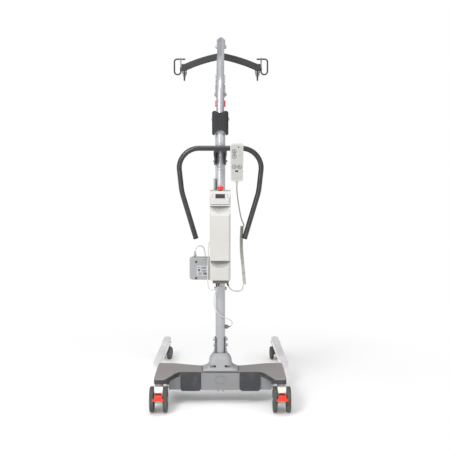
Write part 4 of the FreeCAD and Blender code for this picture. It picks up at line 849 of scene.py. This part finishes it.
def handset_keypad():
    """The handset's face film, key rings, marks, painted key shadows, window, lamps and cord
    sleeve.
    """
    keys = {"up": (0.068, 1.257), "down": (0.068, 1.234), "open": (0.067, 1.184),
            "close": (0.093, 1.184)}
    face = place((HANDSET_X, HANDSET_REAR_Y, KEYPAD_Z), (0, -1, 0))
    half_low, half_high, low, high = 0.0235, 0.0265, -0.082, 0.078
    rim = [(-half_low, low), (half_low, low), (half_high, high)]
    for i in range(1, 12):
        share = i / 12
        rim.append((half_high * (1 - 2 * share), high + 0.006 * math.sin(math.pi * share)))
    rim.append((-half_high, high))
    holes = [round_outline(0.0072, (x - HANDSET_X, z - KEYPAD_Z)) for x, z in keys.values()]
    piece("handset_film", panel([rim] + holes, 0.0005, 0.0001), KEYPAD_GREY, "handset",
          face)
    ring = [(0.0073, 0), (0.0089, 0), (0.0086, 0.0008), (0.0080, 0.0011), (0.0074, 0.0008)]
    arrow = [(0.0, 0.0042), (-0.0040, -0.0022), (0.0040, -0.0022)]
    bar = rounded_outline(0.0076, 0.0014, 0.0005)
    turns = {"up": 0, "down": 180, "open": 90, "close": -90}
    for name, (x, z) in keys.items():
        spot = face @ Matrix.Translation((x - HANDSET_X, z - KEYPAD_Z, 0))
        piece(f"key_ring_{name}", turned(ring), HANDSET_GREY, "handset", spot)
        # a dark ring of painted shadow in the gap round each key
        shadow_gap = panel([round_outline(0.0106), round_outline(0.0089)], 0.0007, 0.0001)
        piece(f"key_gap_shadow_{name}", shadow_gap, MARK_AND_SHADOW_GREY, "handset", spot)
        turn = Matrix.Rotation(math.radians(turns[name]), 4, "Z")
        on_key = spot @ Matrix.Translation((0, 0, 0.0014)) @ turn
        piece(f"key_arrow_{name}", panel([arrow], 0.0006, 0.0001), MARK_AND_SHADOW_GREY, f"key_{name}",
              on_key)
        piece(f"key_bar_{name}", panel([bar], 0.0006, 0.0001), MARK_AND_SHADOW_GREY, f"key_{name}",
              on_key @ Matrix.Translation((0, -0.0042, 0)))
    window = place((0.079, HANDSET_REAR_Y, 1.163), (0, -1, 0))
    piece("handset_window", panel([rounded_outline(0.0150, 0.0076, 0.0034)], 0.0012), LENS,
          "handset", window)
    lamps = (("a", 0.088, 1.277, 0.0032, LENS), ("b", 0.0955, 1.2405, 0.0019, MARK_AND_SHADOW_GREY),
             ("c", 0.088, 1.2695, 0.0019, LABEL))
    for name, x, z, radius, finish in lamps:
        dome = [circle(radius, 0), circle(radius, 0.0007), circle(radius * 0.8, 0.0012),
                circle(radius * 0.4, 0.0014)]
        piece(f"handset_lamp_{name}", loft(dome), finish, "handset",
              place((x, HANDSET_REAR_Y, z), (0, -1, 0)))
    sleeve = [(0.0030, 0.0), (0.0066, 0.0)]
    for i in range(6):
        reach, start = 0.0062 - 0.00036 * i, 0.0035 * i
        sleeve += [(reach, 0.0012 + start), (reach, 0.0030 + start),
                   (reach - 0.0007, 0.0034 + start), (reach - 0.0007, 0.0044 + start)]
    sleeve.append((0.0030, 0.0236))
    piece("handset_sleeve", turned(sleeve), KEYPAD_GREY, "handset",
          place(SLEEVE_TOP, (0, 0, -1)))


# ---- cords ----
def handset_cord():
    """One cord from the handset through the curly stretch to the plug under the control unit.

    All of it rides on the base, so its upper end does not follow the handset off the bar."""
    axis = line_of(CORD_COIL)
    curl = helix(axis, (COIL_D - CORD_D) / 2, COIL_TURNS, POINTS_PER_TURN, (0, -1, 0))
    points = [Vector(p) for p in CORD_LEAD + CORD_INTO_COIL] + curl
    points += [Vector(p) for p in CORD_OUT_OF_COIL + CORD_TAIL]
    made = add("handset_cord", spline_curve("handset_cord", points, CORD_D))
    made.data.materials.append(CORD_SKIN)
    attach(made, "base")
    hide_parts("handset_cord_lead", "handset_cord_coil", "handset_cord_tail")
    boot = [(0.0029, 0), (0.0038, 0), (0.0040, 0.0040), (0.0046, 0.0042), (0.0046, 0.0110),
            (0.0029, 0.0110)]
    into = (Vector(CORD_TAIL[-1]) - Vector(CORD_TAIL[-2])).normalized()
    sleeve = piece("cord_plug_boot", turned(boot), BLACK_PLASTIC, "base",
                   place(Vector(CORD_TAIL[-1]) - into * 0.0105, into))


def motor_leads():
    """The two motor leads. The lift motor's is a fixed tube that does not follow the tilting
    actuator.
    """
    line = line_of(LIFT_LEAD)
    lift = piece("lift_lead", tube_mesh(line, LEAD_D / 2), LEAD_SKIN, None)
    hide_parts("lift_motor_lead")
    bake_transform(lift)
    leg = add("leg_lead", spline_curve("leg_lead", LEG_LEAD, LEAD_D))
    leg.data.materials.append(LEAD_SKIN)
    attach(leg, "base")
    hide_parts("leg_motor_lead")
    collar = [(0.0024, 0), (0.0044, 0), (0.0046, 0.0008), (0.0046, 0.0030), (0.0034, 0.0042),
              (0.0030, 0.0120), (0.0024, 0.0120)]
    for name, spot, away in (("lift_lead_boot", LIFT_LEAD[-1], (0, 0, -1)),
                             ("leg_lead_boot", LEG_LEAD[0], (0, 0, -1)),
                             ("leg_lead_end_boot", LEG_LEAD[-1], (1, 0, 0.1))):
        piece(name, turned(collar), BLACK_PLASTIC, "base", place(spot, away))


def gate_springs():
    """Fine torsion springs on the pins of the outer hooks' gates."""
    for side, sign in SIDES:
        x = sign * (END_X + 0.0205)
        start = Vector((x, SPREADER_Y + 0.0072, END_Z + 0.009))
        pin = [start, start + Vector((0, 0.0036, 0))]
        coil = helix(pin, 0.0026, 4, 12, (0, 0, 1))
        leg_in = [coil[0] + Vector((0, 0, 0.012)), coil[0] + Vector((0, 0, 0.005))]
        wire = mesh_of(spline_curve("spring", leg_in + coil, 0.0008))
        piece(f"gate_spring_{side}", wire, WIRE_STEEL, f"outer_gate_{side}")


# ---- stage: floor, lights and camera ----
# what the surroundings give as light at the low and the high end of each axis
WALL_LIGHT = (("X", 0.84, 0.60), ("Y", 1.02, 0.35), ("Z", 0.66, 1.28))

# name, place, watts, width and height
SOFTBOXES = (("key", (-1.6, -3.0, 3.2), 66, 0.9, 0.9), ("fill", (2.9, -3.0, 2.0), 10, 1.2, 1.2),
             ("top", (-0.3, -1.0, 4.6), 52, 2.0, 2.0), ("back", (1.6, 3.4, 3.0), 8, 2.4, 2.4),
             ("strip", (-1.5, -4.2, 1.5), 26, 0.35, 2.2))
AIM = Vector((0, -0.1, 0.95))    # where every lamp points


def studio_walls():
    """White to look at. As light, brighter from the left, from behind the hoist and from above."""
    world = bpy.data.worlds.new("studio")
    bpy.context.scene.world = world
    world.use_nodes = True
    nodes, links = world.node_tree.nodes, world.node_tree.links
    direction = nodes.new("ShaderNodeSeparateXYZ")
    links.new(nodes.new("ShaderNodeTexCoord").outputs["Generated"], direction.inputs[0])
    glow = None
    for letter, low, high in WALL_LIGHT:
        share = nodes.new("ShaderNodeMapRange")
        links.new(direction.outputs[letter], share.inputs["Value"])
        share.inputs["From Min"].default_value = -0.7
        share.inputs["From Max"].default_value = 0.9
        share.inputs["To Min"].default_value = low
        share.inputs["To Max"].default_value = high
        product = nodes.new("ShaderNodeMath")
        product.operation = "MULTIPLY"
        product.inputs[0].default_value = 1.0
        if glow:
            links.new(glow.outputs[0], product.inputs[0])
        links.new(share.outputs["Result"], product.inputs[1])
        glow = product
    seen = nodes.new("ShaderNodeMix")
    links.new(nodes.new("ShaderNodeLightPath").outputs["Is Camera Ray"], seen.inputs["Factor"])
    links.new(glow.outputs[0], seen.inputs["A"])
    seen.inputs["B"].default_value = 1.0
    links.new(seen.outputs["Result"], nodes["Background"].inputs["Strength"])
    nodes["Background"].inputs["Color"].default_value = (1.0, 1.0, 1.0, 1.0)


def stage():
    """A paper floor that fades into the white surroundings, and the lamps."""
    floor_mesh = bmesh.new()
    bmesh.ops.create_grid(floor_mesh, x_segments=1, y_segments=1, size=14.0)
    mesh = bpy.data.meshes.new("floor")
    floor_mesh.to_mesh(mesh)
    floor_mesh.free()
    floor = add("floor", mesh)
    f = Finish("floor_paper", specular=0.0)
    base = f.mix(f.fade(f.noise(1.2, 3.0), 0.3, 0.7), (0.93, 0.93, 0.93), (0.96, 0.96, 0.96))
    far = f.node("VectorMath", {0: f.place}, operation="LENGTH").outputs["Value"]
    away = f.fade(far, 0.30, 1.60)
    f.feed(f.surface["Emission Color"], (1.0, 1.0, 1.0))
    f.feed(f.surface["Emission Strength"], away)
    base = f.mix(away, base, (0.0, 0.0, 0.0))
    mesh.materials.append(f.done(base, 0.9))
    studio_walls()
    for name, spot, power, width, height in SOFTBOXES:
        light = bpy.data.lights.new(name, "AREA")
        light.shape = "RECTANGLE"
        light.energy = power
        light.size = width
        light.size_y = height
        lamp = add(name, light)
        lamp.location = spot
        lamp.rotation_euler = (AIM - Vector(spot)).to_track_quat("-Z", "Y").to_euler()


def plain_colours():
    """Shows colours as they are, without a film curve, so that white paper stays white."""
    bpy.context.scene.view_settings.view_transform = "Standard"


def camera():
    """A long lens behind the hoist, looking slightly down."""
    lens = bpy.data.cameras.new("camera")
    lens.sensor_width = 36.0
    lens.lens = 76.8
    eye = add("camera", lens)
    eye.location = (0.0232, -5.012, 1.453)
    eye.rotation_euler = (math.radians(83.19), 0.0, 0.0)
    bpy.context.scene.camera = eye


plain_colours()
camera()
handset_cord()
motor_leads()
dress_cad_nodes()
all_wheels()
caster_details()
base_details()
boom_and_handle_details()
actuator_details()
display_and_keys()
handset_keypad()
gate_springs()
stage()
